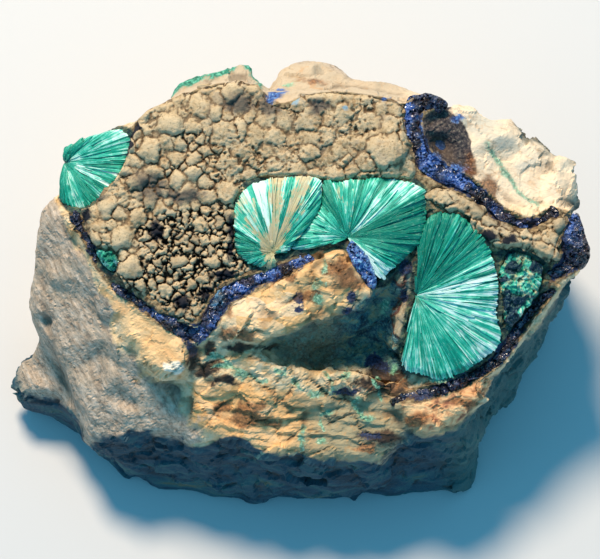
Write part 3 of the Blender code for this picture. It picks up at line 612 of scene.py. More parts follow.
def fill_mesh(mesh, points, faces):
    """Puts new points and triangles into a mesh."""
    mesh.clear_geometry()
    mesh.vertices.add(len(points))
    mesh.vertices.foreach_set("co", to_world(points).astype(np.float32).ravel())
    mesh.loops.add(len(faces) * 3)
    mesh.loops.foreach_set("vertex_index", faces.astype(np.int32).ravel())
    mesh.polygons.add(len(faces))
    mesh.polygons.foreach_set("loop_start", np.arange(0, len(faces) * 3, 3, dtype=np.int32))
    mesh.update(calc_edges=True)


def filled(points):
    """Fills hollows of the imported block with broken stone, each up to a plane of its own."""
    points = points.copy()
    for outline, low, level, slope_x, slope_y, most in FILLS:
        within = smooth_step(-0.8, 1.2, inside(points, outline)) * (points[:, 2] > low)
        wanted = level + slope_x * points[:, 0] + slope_y * points[:, 1]
        wanted = np.minimum(wanted, most) + 0.3 * soft_noise(points, 1.5, 27, 2)
        points[:, 2] += np.maximum(wanted - points[:, 2], 0) * within
    return points


def bedded(points, normals):
    """Brings the block up under the pieces that lie on it, so that no trough runs round them."""
    level, cover = look_up("pieces", points[:, 0], points[:, 1], True)
    weight = smooth_step(0.12, 0.45, cover) * smooth_step(-0.3, 0.1, normals[:, 2])
    inner = look_up("pieces", points[:, 0], points[:, 1])[1]
    wanted = level - 0.45 - 1.2 * smooth_step(0.55, 0.95, inner)
    rise = np.clip(wanted - points[:, 2], 0, 3.5) * weight
    rise = np.where(points[:, 2] > level - 5.0, rise, 0)
    points = points.copy()
    points[:, 2] += rise
    return points


def spare_weight(points, normals):
    """Where triangles can be saved: underside, back, and under the other pieces."""
    level, cover = look_up("pieces", points[:, 0], points[:, 1])
    hidden = smooth_step(0.9, 1.0, cover) * smooth_step(0.0, 0.3, normals[:, 2]) * (points[:, 2] < level)
    low = smooth_step(-6, -14, points[:, 2] + 0.4 * points[:, 1])
    away = smooth_step(0.1, -0.3, normals[:, 2])
    return np.clip(0.05 + 0.95 * np.maximum(np.maximum(away, 0.4 * low), hidden), 0, 1)


def hollowness(points, faces, normals, rounds=10):
    """How far each point sits below its neighbourhood, in mm."""
    wide = relax(points, faces, rounds, 1.0)
    return ((wide - points) * normals).sum(axis=1)


def limestone():
    """Limestone: cream calcite with rusty and green staining, grey and sugary on the flanks, and painted
    shade at its foot, under the brow, beside the fans and in creases.
    """
    material, tree, shader = new_material("limestone")
    seen = drawn(tree, "nose", "brow", "block", "drab", "slab", "far", "haze", "seam", "grey", "east",
                 "plain", "dark", "tongue", "cave", "dull", "peg", "bright", "window", "rust", "soot",
                 "skin", "under", "green", "thread", "band", "navy", "blue", "crack", "hollow")
    grain = mottling(tree, 0.55, 4, 0.7)
    broad = mottling(tree, 3.2, 4, 0.6, 0.4)
    patch = mottling(tree, 1.5, 3, 0.6, 0.6)
    crumbs = mottling(tree, 0.30, 3, 0.7)

    # Cleavage faces: angular patches about 2 mm across, each of its own cream.
    blocky = place(tree, (1.7, 0.9, 1), -12)
    veined = mottling(tree, 1.7, 4, 0.62, 0.8, blocky)
    wave = add_node(tree, "TexNoise", {}, {"Vector": blocky, "Scale": 1000 / 1.6, "Detail": 2.0}, "Color")
    bent = add_node(tree, "VectorMath", {"operation": "MULTIPLY_ADD"},
                    {0: wave, 1: (0.8 / 500,) * 3, 2: blocky})
    split = add_node(tree, "TexVoronoi", {"feature": "F1"}, {"Vector": bent, "Scale": 1000 / 2.2}, "Color")
    honey = [(0.33, "#b0743c"), (0.42, "#dba767"), (0.52, "#ecc895"), (0.66, "#f3dcbc")]
    ivory = [(0.12, "#b37238"), (0.34, "#dca563"), (0.60, "#f0cd98"), (0.88, "#fdf3e2")]
    facets = lay(tree, (veined, honey), (split, ivory), 0.62)
    worn = joined(tree, "ADD", seen["nose"], joined(tree, "MULTIPLY", seen["brow"], 0.6), seen["block"])
    cream = lay(tree, (broad, [(0.28, "#b98f5c"), (0.42, "#dab988"), (0.56, "#e8d2ac"), (0.72, "#d2a66c")]),
                facets, joined(tree, "MINIMUM", worn, 1.0), 0.85)
    for name, strength, over in (
            ("brow", 0.50, "#f0b26a"), ("nose", 0.30, "#eebf80"), ("drab", 0.80, "#8f9076"),
            ("block", 0.50, "#f0c690"), ("slab", 0.60, "#f2dec6"), ("far", 0.75, "#b3a288")):
        cream = lay(tree, cream, over, seen[name], strength)
    cream = lay(tree, cream, "#a9b0a8", edge(tree, seen["haze"], patch, 0.4, 0.5), 0.55)
    layers = mottling(tree, 0.45, 3, 0.6, 0.4, place(tree, (6, 0.7, 1), -14))
    cream = lay(tree, cream, "#a87f4e", (layers, 0.56, 0.68, 0, 0.35))
    cream = lay(tree, cream, "#c88f50", (patch, 0.57, 0.68, 0, 0.40))
    cream = lay(tree, cream, "#8a663e", (grain, 0.30, 0.40, 0.35, 0))

    # The weathered flank: grey, with a grain that runs down it.
    slanted = place(tree, (1, 4, 1), 27)
    streak = mottling(tree, 0.6, 6, 0.8, 0.2, slanted)
    banded = mottling(tree, 2.2, 3, 0.6, 0.2, slanted)
    grey = lay(tree, (streak, [(0.34, "#76675a"), (0.44, "#a69480"), (0.54, "#c4b19c"), (0.68, "#e2d1be")]),
               "#94846f", (banded, 0.52, 0.66, 0, 0.35))
    grey = lay(tree, grey, "#72665a", (mottling(tree, 0.35, 3, 0.7, 0, slanted), 0.55, 0.66, 0, 0.55))
    # The seam between the flank's blocks is darker: a dark joint, and painted shade.
    grey = lay(tree, grey, "#6b5f50", seen["seam"], 0.4)
    grey = lay(tree, grey, "#b8a78f", (mottling(tree, 4.0, 3, 0.6), 0.45, 0.65, 0, 0.35))

    # The foot of the block: painted shade in dark blue-green at the front, on the east side and under the
    # knob; plain grey-brown behind.
    dark = lay(tree, (mottling(tree, 2.4, 4, 0.6, 0.5, place(tree, (3, 1, 0.7))),
                      [(0.32, "#122c38"), (0.50, "#1f4a5a"), (0.62, "#2f6064"), (0.72, "#55604f")]),
               "#46716a", seen["east"], 0.6)
    plain = [(0.34, "#3e4a46"), (0.48, "#6f6a5a"), (0.60, "#8c8472"), (0.72, "#4d6a62")]
    dark = lay(tree, dark, (broad, plain), edge(tree, seen["plain"], broad, 0.4, 0.5))
    base = lay(tree, cream, grey, edge(tree, seen["grey"], grain, 0.25))
    base = lay(tree, base, dark, edge(tree, seen["dark"], patch, 0.30))
    peach = [(0.34, "#8a5640"), (0.46, "#d89f6e"), (0.58, "#f4cb96"), (0.70, "#c07c58")]
    base = lay(tree, base, (patch, peach), edge(tree, seen["tongue"], grain, 0.25))

    # The hollow under the brow: painted shade in dull blue-green with near-black and pale specks, lighter
    # and browner to the left, where the painted shade is only partial.
    shade = [(0.34, "#183440"), (0.45, "#37606a"), (0.55, "#558078"), (0.67, "#a09a78")]
    base = lay(tree, base, (patch, shade), edge(tree, seen["cave"], patch, 0.30))
    base = lay(tree, base, "#94805f", seen["dull"], 0.75)
    base = lay(tree, base, "#0e1a20", seen["cave"], (crumbs, 0.55, 0.66, 0, 0.60))
    base = lay(tree, base, "#86a08e", seen["cave"], (crumbs, 0.48, 0.36, 0, 0.6))

    # Stains and patches of painted shade, each with its mask, the pattern that breaks its edge, how soft and
    # how far in that edge is, its colour, and how strong it is where it isn't solid.
    for name, rough, soft, bias, over, *strength in (
            ("peg", patch, 0.14, 0.36, "#5f3020"),
            ("peg", patch, 0.14, 0.58, "#a3977c"),
            ("bright", grain, 0.3, 0.5, "#f4ecd8"),
            ("window", patch, 0.20, 0.5,
             (crumbs, [(0.36, "#17141a"), (0.47, "#373033"), (0.58, "#5a4e48"), (0.70, "#8a7f6c")])),
            ("rust", patch, 0.22, 0.50,
             (crumbs, [(0.36, "#4c2812"), (0.50, "#7a4a24"), (0.64, "#a87040")]), 0.85),
            ("soot", grain, 0.25, 0.55, (patch, [(0.36, "#120f0e"), (0.50, "#2f2218"), (0.64, "#5f4630")])),
            # The crust's clay colour round the pieces, its dark browns painted shade in the gaps.
            ("skin", patch, 0.25, 0.55, (grain, [(0.38, "#3a2c1c"), (0.50, "#7d6848"), (0.64, "#b09a74")])),
            # under: painted shade in dark green-black beside and under the fans.
            ("under", patch, 0.25, 0.60, (grain, [(0.38, "#101c22"), (0.50, "#22453f"), (0.64, "#6c7050")])),
            ("green", crumbs, 0.22, 0.64,
             (crumbs, [(0.34, "#1d5a48"), (0.46, "#519c7e"), (0.58, "#8cc3a2"), (0.70, "#d6e6ca")]), 0.85),
            ("thread", crumbs, 0.6, 0.70,
             (crumbs, [(0.38, "#24463f"), (0.50, "#4c8473"), (0.62, "#a9b59a")]),
             (patch, 0.38, 0.56, 0.25, 0.85)),
            ("band", crumbs, 0.2, 0.52, (crumbs, [(0.36, "#0f5242"), (0.50, "#2a8a70"), (0.64, "#74c0a6")])),
            ("navy", crumbs, 0.14, 0.60,
             (crumbs, [(0.36, "#0e1120"), (0.52, "#1d2a4e"), (0.66, "#41506f")])),
            ("blue", crumbs, 0.25, 0.62,
             (crumbs, [(0.36, "#1a2550"), (0.48, "#34599b"), (0.60, "#5580bb"), (0.72, "#9ab9d4")]))):
        base = lay(tree, base, over, edge(tree, seen[name], rough, soft, bias), *strength)
    base = lay(tree, base, "#54381f", seen["crack"], 0.65)
    # Brown in the creases: partly a stain, partly painted shade.
    base = lay(tree, base, "#4a3826", (seen["hollow"], 0.04, 0.26, 0, 0.55))
    height = joined(tree, "ADD", joined(tree, "MULTIPLY", grain, 0.7), joined(tree, "MULTIPLY", streak, 0.4))
    finish(tree, shader, base, 0.72, 1.5, height, 0.16)
    return material


# ---- tan crust -----------------------------------------------------------------------
# The steps of the grids, the crust's foot, and the radius and height of its largest lump, in mm.
CRUST_STEP = 0.10
STRIP_STEP = 0.11
DRUSE_STEP = 0.10
CRUST_FOOT = -1.0
LARGE_LUMP, LARGE_LUMP_HEIGHT = 2, 1.10
SIDE_LEVELS = 5  # rows of faces down the side of a piece
COVERED = 0.42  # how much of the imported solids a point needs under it
# The crust's own lumps: x, y and radius in mm. Smaller ones are packed in between.
LUMPS = [
    (-13.9, 16.5, 1.50), (-10.7, 18.5, 1.28), (-11.3, 16.1, 0.96), (-16.0, 13.8, 1.28), (-8.1, 15.8, 1.82),
    (-6.2, 13.6, 1.18), (-11.4, 11.4, 1.07), (-20.6, 7.6, 1.28), (-19.0, 4.5, 1.39), (-21.3, 5.7, 0.86),
    (-18.1, 1.2, 1.39), (-13.0, 1.9, 0.86), (-15.0, 1.9, 0.64), (-12.6, 8.1, 0.54), (-3.8, 13.8, 0.86),
    (-1.9, 13.3, 0.75), (1.1, 13.6, 0.96), (4.1, 13.8, 1.07), (9.2, 13.8, 2.14), (0.0, 11.7, 0.86),
    (-3.0, 12.1, 0.86), (-7.9, 9.5, 1.28), (-5.3, 11.0, 1.07), (-8.7, 19.4, 0.96), (-6.3, 18.7, 1.18),
    (-3.6, 17.0, 1.28), (0.9, 17.0, 1.50), (4.6, 17.7, 1.18), (7.5, 16.9, 1.28), (10.2, 17.9, 0.96),
    (5.5, 11.7, 1.07), (2.8, 15.5, 0.96), (-10.0, 9.0, 0.86), (-16.4, 16.2, 0.96), (-18.3, 14.2, 0.96),
    (-15.5, 11.5, 0.96), (-13.3, 13.0, 0.96), (-10.1, 13.6, 0.96), (-19.2, 11.7, 0.96), (-21.3, 9.3, 0.86),
    (-19.4, 9.5, 0.75), (-17.6, 7.9, 0.75), (-22.2, 7.2, 0.75), (-6.4, 16.2, 1.07), (-1.1, 15.1, 0.96),
    (6.4, 14.9, 0.86), (-5.9, 7.9, 0.86), (-7.5, 6.9, 0.75), (-10.7, 5.8, 0.75), (-16.0, 3.7, 0.64),
    (-11.2, 7.9, 0.64), (-14.4, -1.1, 0.86), (-17.1, -0.6, 0.75), (-11.7, -0.6, 0.75), (-9.4, 1.9, 0.86),
    (-9.1, 4.2, 0.64), (-16.0, 5.8, 0.54),
]
STRIP_LUMPS = [(25.9, 2.9, 1.0), (26.9, 4.3, 1.0), (27.9, 5.9, 0.9), (15.3, 8.8, 0.9), (17.4, 8.1, 0.8)]
CRACKED_ZONE = [(-17.0, 6.6), (-12.5, 7.4), (-9.0, 8.2), (-5.8, 7.6), (-6.0, 0.5), (-9.0, -2.2),
                (-11.0, -5.0), (-15.0, -3.2), (-18.5, -1.8), (-17.2, 2.4)]
MUDDY_ZONE = [(-9.8, 9.8), (-9.4, 14.2), (-7.0, 21.5), (13.5, 21.5), (13.5, 9.8)]
SMOOTH_BALLS = [(9.2, 13.8), (-13.9, 16.5), (-20.6, 7.6), (-18.1, 1.2), (-13.0, 1.9), (-11.4, 11.4)]
DUSTY_SPOTS = [(-16.0, 10.1, 2.3, 1.7), (-12.4, 9.0, 2.2, 0.8), (-6.5, 18.9, 2.0, 1.2),
               (-3.2, 18.6, 1.6, 1.4), (2.0, 18.6, 1.3, 0.8), (-22.0, 8.8, 1.6, 0.7)]
INKY_SPOTS = [(-7.3, 5.6, 0.7, 1.6), (-7.4, 3.2, 0.6, 1.4), (-12.6, -2.4, 1.2, 0.9), (-10.0, -1.6, 0.9, 1.2),
              (-8.0, 0.4, 1.6, 0.7), (-23.0, 7.0, 0.7, 1.0), (-15.4, 5.4, 1.0, 1.4), (3.4, 9.8, 1.2, 0.4),
              (20.2, 4.6, 1.2, 0.8), (22.4, 4.4, 1.0, 0.6)]
BLUE_STAINS = [(-2.7, 19.7, 1.0, 0.7), (-1.8, 20.0, 0.9, 0.4), (9.1, 19.5, 0.8, 0.35),
               (16.0, 11.7, 2.0, 0.9), (14.0, 12.9, 1.0, 1.2), (17.3, 17.2, 0.9, 0.5),
               (12.7, 15.5, 0.5, 2.2)]
PALE_STAINS = [(-0.8, 19.1, 0.8, 0.6), (4.9, 18.4, 0.3, 0.3)]
LEFT_EDGE = [(-23.6, 8.6), (-21.6, 10.2), (-20.2, 12.0), (-18.8, 14.6), (-17.6, 16.6)]


def grid(name, step, margin):
    """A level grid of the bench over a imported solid, with its x and y values."""
    points = node_points(name)[0]
    low, high = points.min(axis=0) - margin, points.max(axis=0) + margin
    xs = np.arange(low[0], high[0], step)
    ys = np.arange(low[1], high[1], step)
    return np.meshgrid(xs, ys)


def tops(names, x, y):
    """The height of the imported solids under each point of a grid, and where there is any."""
    corners, triangles = [], []
    for name in names:
        points, faces = node_points(name)
        triangles += (faces + len(corners)).tolist()
        corners += points.tolist()
    tree = BVHTree.FromPolygons(corners, triangles)
    down = Vector((0, 0, -1))
    found = [tree.ray_cast(Vector((px, py, 30)), down)[0] for px, py in zip(x.ravel(), y.ravel())]
    level = np.array([hit.z if hit else np.nan for hit in found]).reshape(x.shape)
    cover = ~np.isnan(level)
    return np.nan_to_num(level), cover.astype(float)


MAP_STEP = 0.25
MAP_WIDE, MAP_DEEP = 36, 30  # mm that the maps reach from the bench's middle
MAPS = {}


def make_map(key, names):
    """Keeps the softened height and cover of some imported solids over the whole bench."""
    x, y = np.meshgrid(np.arange(-MAP_WIDE, MAP_WIDE, MAP_STEP), np.arange(-MAP_DEEP, MAP_DEEP, MAP_STEP))
    level, cover = tops(names, x, y)
    near = soften(cover, 1)
    wide = soften(cover, 3)
    MAPS[key] = (soften(level * cover, 3) / (wide + 1e-3), near, wide)


def look_up(key, x, y, wide=False):
    """Height and cover from a kept map at any points of the bench."""
    level, near, far = MAPS[key]
    col = np.clip((x + MAP_WIDE) / MAP_STEP, 0, level.shape[1] - 1.001)
    row = np.clip((y + MAP_DEEP) / MAP_STEP, 0, level.shape[0] - 1.001)
    c, r = col.astype(int), row.astype(int)
    fc, fr = col - c, row - r

    def at(field):
        """A field read between its cells."""
        upper = field[r, c] * (1 - fc) + field[r, c + 1] * fc
        lower = field[r + 1, c] * (1 - fc) + field[r + 1, c + 1] * fc
        return upper * (1 - fr) + lower * fr

    return at(level), at(far if wide else near)


def survey():
    """Keeps the maps by which the pieces are fitted to each other."""
    names = list(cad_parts)
    make_map("fans", [name for name in names if name.startswith("tyrolite")])
    make_map("pieces", [name for name in names if name != "matrix_rock"])
    make_map("azurite", [name for name in names if name.startswith("azurite")])
    make_map("all", names)


def soften(field, width, rounds=3):
    """A field averaged over a square of so many cells, several times."""
    kernel = np.ones(2 * width + 1) / (2 * width + 1)
    for _ in range(rounds):
        field = np.apply_along_axis(np.convolve, 0, field, kernel, mode="same")
        field = np.apply_along_axis(np.convolve, 1, field, kernel, mode="same")
    return field


def ground(name, step, margin, close, wide):
    """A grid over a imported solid, how far inside the solid each point is, and the solid's evened top."""
    x, y = grid(name, step, margin)
    packed, cover = tops([name], x, y)
    level = soften(packed * cover, wide) / (soften(cover, wide) + 1e-3)
    return x, y, soften(cover, close), level


def ripple(x, y, size, seed, octaves=1):
    """Soft noise over a grid."""
    return soft_noise(on_plane(x, y), size, seed, octaves).reshape(x.shape)


def stains(x, y, rows, size, amount, seed):
    """Soft oval spots over a grid, with ragged outlines."""
    return spots(warped(on_plane(x, y), size, amount, seed), rows).reshape(x.shape)


def over_block(x, y):
    """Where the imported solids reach, so that no edge hangs out past them."""
    return look_up("all", x, y)[1] > COVERED


def pack_lumps(named, box, rng, kinds, zones):
    """Fills an area with round lumps: named ones first, then smaller ones where there is room.

    Each kind: where it grows, its least and most radius, how many are tried, and how near
    two lumps may stand against the sum of their radii.
    """
    x, y, cracked, muddy = zones
    step = x[0, 1] - x[0, 0]
    rows = np.array(named)
    for wanted, low, high, tries, room in kinds:
        sizes = sorted((low + (high - low) * rng.random() ** 1.6 for _ in range(tries)), reverse=True)
        for size in sizes:
            px, py = rng.uniform(box[0], box[1] - step), rng.uniform(box[2], box[3] - step)
            spot = (int((py - y[0, 0]) / step), int((px - x[0, 0]) / step))
            if not wanted(cracked[spot], muddy[spot]):
                continue
            if (np.hypot(rows[:, 0] - px, rows[:, 1] - py) > room * (size + rows[:, 2])).all():
                rows = np.vstack([rows, (px, py, size)])
    return [tuple(row) for row in rows]


def lay_lumps(rows, x, y, wx, wy, rng):
    """Shares the ground out among the lumps, which meet at cracks.

    For each point: the lump it belongs to, how far it is from that lump's middle against
    its size, how far in mm from the nearest crack, and the lump's lean.
    """
    step = x[0, 1] - x[0, 0]
    best, second = np.full(x.shape, -9.0), np.full(x.shape, -9.0)
    which, away_in = np.zeros(x.shape, int), np.ones(x.shape)
    lean = np.zeros(x.shape)
    for number, (bx, by, size) in enumerate(rows):
        reach = int((size * 1.5 + 0.8) / step) + 2
        col, row = int((bx - x[0, 0]) / step), int((by - y[0, 0]) / step)
        part = (slice(max(0, row - reach), max(0, row + reach)),
                slice(max(0, col - reach), max(0, col + reach)))
        turn, narrow = rng.uniform(0, math.pi), rng.uniform(0.72, 1.0)
        tilt_x, tilt_y = rng.uniform(-0.16, 0.16), rng.uniform(-0.16, 0.16)
        dx, dy = wx[part] - bx, wy[part] - by
        u = dx * math.cos(turn) + dy * math.sin(turn)
        v = (dy * math.cos(turn) - dx * math.sin(turn)) / narrow
        away = np.hypot(u, v)
        value = size - away
        nearer = value > best[part]
        second[part] = np.where(nearer, best[part], np.maximum(second[part], value))
        best[part] = np.where(nearer, value, best[part])
        which[part] = np.where(nearer, number, which[part])
        away_in[part] = np.where(nearer, away / size, away_in[part])
        lean[part] = np.where(nearer, tilt_x * dx + tilt_y * dy, lean[part])
    return which, away_in, best, (best - second) / 2, lean


def sheet(name, x, y, height, keep, foot, material, masks):
    """A closed piece with a top that follows a grid of heights and sides down to a foot."""
    cell = keep[:-1, :-1] & keep[1:, :-1] & keep[:-1, 1:] & keep[1:, 1:]
    rows, cols = x.shape
    used = np.zeros(x.shape, bool)
    for dr, dc in ((0, 0), (1, 0), (0, 1), (1, 1)):
        used[dr:rows - 1 + dr, dc:cols - 1 + dc] |= cell
    index = np.full(x.shape, -1)
    index[used] = np.arange(used.sum())
    r, c = np.nonzero(cell)
    quads = np.stack([index[r, c], index[r, c + 1], index[r + 1, c + 1], index[r + 1, c]], axis=1)
    points = np.stack([x[used], y[used], height[used]], axis=1)
    padded = np.pad(cell, 1)
    walls = []
    for dr, dc, (a, b) in ((-1, 0, ((0, 0), (0, 1))), (0, 1, ((0, 1), (1, 1))),
                           (1, 0, ((1, 1), (1, 0))), (0, -1, ((1, 0), (0, 0)))):
        open_side = ~padded[1 + r + dr, 1 + c + dc]
        rr, cc = r[open_side], c[open_side]
        walls.append(np.stack([index[rr + b[0], cc + b[1]], index[rr + a[0], cc + a[1]]], axis=1))
    walls = np.concatenate(walls)
    rim = np.unique(walls)
    points = even_rim(points, walls, rim)
    inward = inward_ways(points, quads, walls, rim)
    sides, faces = [points], [quads]
    spread = {key: [value[used]] for key, value in masks.items()}
    above = np.arange(len(points))
    for level in range(1, SIDE_LEVELS + 1):
        below = np.full(len(points), -1)
        below[rim] = len(points) + (level - 1) * len(rim) + np.arange(len(rim))
        corners = above[walls[:, 0]], above[walls[:, 1]], below[walls[:, 1]], below[walls[:, 0]]
        faces.append(np.stack(corners, axis=1))
        part = level / SIDE_LEVELS
        ring = points[rim].copy()
        ring[:, 2] += (foot - ring[:, 2]) * part
        broken = 0.30 * soft_noise(ring, 0.9, 13, 3) + 0.10 * broken_facets(ring, 0.7, 15)[0]
        ring[:, :2] += inward * (0.10 + 0.70 * part + broken)[:, None]
        sides.append(ring)
        for key, value in masks.items():
            fade = min(1.6 * part, 1)
            spread[key].append(value[used][rim] * (1 - fade) + value[used][rim].mean() * fade)
        above = below
    spread = {key: np.concatenate(value) for key, value in spread.items()}
    piece = make_piece(name, np.concatenate(sides), np.concatenate(faces), material, True, spread)
    bm = bmesh.new()
    bm.from_mesh(piece.data)
    holes = [edge for edge in bm.edges if edge.is_boundary]
    bmesh.ops.holes_fill(bm, edges=holes, sides=0)
    bm.to_mesh(piece.data)
    bm.free()
    return piece


def inward_ways(points, quads, walls, rim):
    """Level unit directions from each point of the outline into the piece."""
    total = np.zeros((len(points), 2))
    for k in range(4):
        for axis in (0, 1):
            middle = points[quads, axis].mean(axis=1) - points[quads[:, k], axis]
            total[:, axis] += np.bincount(quads[:, k], middle, len(points))
    ends = np.concatenate([walls, walls[:, ::-1]])
    for _ in range(6):
        passed = [np.bincount(ends[:, 0], total[ends[:, 1], axis], len(points)) for axis in (0, 1)]
        total = total + np.stack(passed, axis=1)
        total /= np.linalg.norm(total, axis=1, keepdims=True) + 1e-9
    return total[rim]


def even_rim(points, walls, rim, rounds=8):
    """Takes the steps of the grid out of the outline."""
    points = points.copy()
    ends = np.concatenate([walls, walls[:, ::-1]])
    count = np.bincount(ends[:, 0], minlength=len(points))[rim]
    for _ in range(rounds):
        for axis in (0, 1):
            total = np.bincount(ends[:, 0], points[ends[:, 1], axis], len(points))[rim]
            points[rim, axis] = 0.5 * points[rim, axis] + 0.5 * total / count
    return points


def zone_value(x, y, outline, soft):
    """1 inside an outline and 0 outside it, over a grid."""
    return region(on_plane(x, y), outline, soft).reshape(x.shape)


def crust_relief(rows, x, y, wx, wy, rng, cracked, muddy):
    """Heights of the lumps over their ground, the cracks between them, and each lump's shade."""
    which, away, best, between, lean = lay_lumps(rows, x, y, wx, wy, rng)
    table = np.array([(size, rng.random(), rng.uniform(-1, 1)) for _, _, size in rows])
    size, shade, lift = (table[which, k] for k in range(3))
    slack = 0.15 + 0.35 * muddy + 0.16 * (1 - cracked) * (1 - muddy)
    crack = np.minimum(between, best + slack)
    crack = crack + (0.06 + 0.07 * cracked) * ripple(x, y, 0.50, 29, 3)
    rounding = np.clip(0.26 * size + 0.08, 0.12, 0.45)
    part = np.clip(crack / rounding, 0, 1)
    edge_rise = np.sqrt(1 - (1 - part) ** 2)
    dome = 1 - np.clip(away, 0, 1) ** 2
    tall = size * (0.42 - 0.18 * muddy + 0.02 * cracked) + 0.10
    tall = np.where(size > LARGE_LUMP, LARGE_LUMP_HEIGHT, tall)
    level = 0.20 * lift * np.sqrt(size) * (1 - 0.35 * cracked)
    height = tall * (0.42 * edge_rise + 0.58 * dome) + level + 0.7 * lean
    joint = ripple(x, y, 1.5, 66, 3)
    open_crack = smooth_step(-0.30 + 0.30 * muddy - 0.3 * cracked,
                             0.12 + 0.30 * muddy - 0.3 * cracked, joint)
    floor = -0.48 * cracked - 0.26 * (1 - cracked) * (1 - muddy) + 0.02 * muddy
    floor = floor + (0.14 + 0.22 * cracked) * ripple(x, y, 0.40, 8, 3)
    height = np.where(crack > 0, np.maximum(height, floor), floor)
    narrow = smooth_step(0.10 + 0.06 * cracked, 0.0, crack) * open_crack
    height = height - narrow * (0.14 + 0.26 * cracked)
    merged = smooth_step(-0.15, 0.35, ripple(x, y, 2.4, 101, 2)) * (1 - 0.8 * cracked)
    merged = merged * (1 - smooth_step(0.8, 1.1, size) * smooth_step(0.9, 0.7, away))
    height += 0.8 * merged * (soften(height, 3, 2) - height)
    balls = sum(np.exp(-(((x - bx) ** 2 + (y - by) ** 2) / 2.2) ** 2) for bx, by in SMOOTH_BALLS)
    rough = np.clip(1 - balls, 0, 1) * (1 - 0.55 * smooth_step(0.8, 1.1, size) * smooth_step(0.9, 0.6, away))
    pitted = rough * (0.45 + 0.55 * muddy) * smooth_step(-0.15, 0.35, ripple(x, y, 2.4, 94, 2)) \
        * smooth_step(0.22, 0.44, ripple(x, y, 0.50, 93, 3))
    height -= 0.30 * pitted
    knobs = broken_facets(on_plane(wx, wy), 0.44, 97, 0.9)[0].reshape(x.shape)
    knobs = knobs * smooth_step(-0.2, 0.3, ripple(x, y, 1.7, 98, 2))
    height += rough * 0.15 * knobs * (0.6 + 0.6 * muddy + 0.2 * cracked)
    buds = np.clip(1 - (cells_near(on_plane(wx, wy), 0.85, 31)[0].reshape(x.shape) / 0.48) ** 2, 0, 1)
    height += rough * 0.12 * buds * smooth_step(-0.3, 0.3, ripple(x, y, 2.1, 99, 2))
    height += (0.35 + 0.65 * rough) * 0.10 * ripple(x, y, 0.30, 95, 2)
    deep = smooth_step(0.14, 0.03, crack) * open_crack * (1 - 0.7 * merged)
    deep = np.maximum(deep, 0.8 * pitted)
    return height, np.clip(deep, 0, 1), shade, rough


def cavities(height):
    """How deep each point of a grid of heights lies below its surroundings, near and wide."""
    near, wide = soften(height, 2, 2) - height, soften(height, 6, 2) - height
    return np.clip(0.5 + 3.2 * near + 0.9 * wide, 0, 1)


def under_fans(x, y, height):
    """Keeps a crust below the fans that lie on it."""
    level, cover = look_up("fans", x, y)
    return np.where(cover > 0.45, np.minimum(height, level - 0.12), height)


def build_crust():
    """The main crust of lumps, left of the fans and behind them."""
    rng = random.Random(4)
    x, y, near, level = ground("tan_crust", CRUST_STEP, 1.2, 4, 9)
    keep = (near > 0.06) & (near + 0.30 * ripple(x, y, 1.1, 5, 3) > 0.26) & over_block(x, y)
    cracked = zone_value(x, y, CRACKED_ZONE, 0.8)
    muddy = zone_value(x, y, MUDDY_ZONE, 1.2)
    wx = x + 0.42 * ripple(x, y, 1.1, 71, 3) + (0.12 + 0.16 * cracked) * ripple(x, y, 0.42, 75, 3)
    wy = y + 0.42 * ripple(x, y, 1.1, 72, 3) + (0.12 + 0.16 * cracked) * ripple(x, y, 0.42, 76, 3)
    box = (x.min(), x.max(), y.min(), y.max())
    rows = pack_lumps(LUMPS, box, rng, [
        (lambda split, mud: split > 0.5, 0.34, 0.62, 1800, 0.80),
        (lambda split, mud: split > 0.5, 0.17, 0.34, 6000, 0.80),
        (lambda split, mud: mud > 0.5, 0.8, 1.5, 1200, 0.66),
        (lambda split, mud: mud > 0.5, 0.35, 0.8, 2500, 0.74),
        (lambda split, mud: split <= 0.5 and mud <= 0.5, 0.6, 1.2, 2500, 0.70),
        (lambda split, mud: split <= 0.5 and mud <= 0.5, 0.26, 0.6, 4000, 0.78),
    ], (x, y, cracked, muddy))
    field, gap, shade, rough = crust_relief(rows, x, y, wx, wy, rng, cracked, muddy)
    edge_drop = 0.60 * (1 - smooth_step(0.24, 0.80, near))
    height = under_fans(x, y, np.minimum(level, 1.0) - 0.40 + field - edge_drop)
    left = smooth_step(0.8, 0.1, along(warped(on_plane(x, y), 0.9, 0.9, 6), LEFT_EDGE)).reshape(x.shape)
    masks = {"gap": gap, "tone": shade, "cracked": cracked, "muddy": muddy * rough,
             "dusty": stains(x, y, DUSTY_SPOTS, 1.6, 0.6, 3),
             "inky": np.maximum(stains(x, y, INKY_SPOTS, 1.0, 0.4, 6), left),
             # hollow: how low each point lies, for painted shade in the hollows and a painted highlight on
             # the crests.
             "hollow": cavities(height),
             "blue": stains(x, y, BLUE_STAINS, 0.9, 0.35, 4),
             "frost": stains(x, y, PALE_STAINS, 0.9, 0.35, 4)}
    piece = sheet("tan_crust_nodules", x, y, height, keep, CRUST_FOOT, shared(crust_clay), masks)
    settle(piece, "tan_crust", "tan_crust")


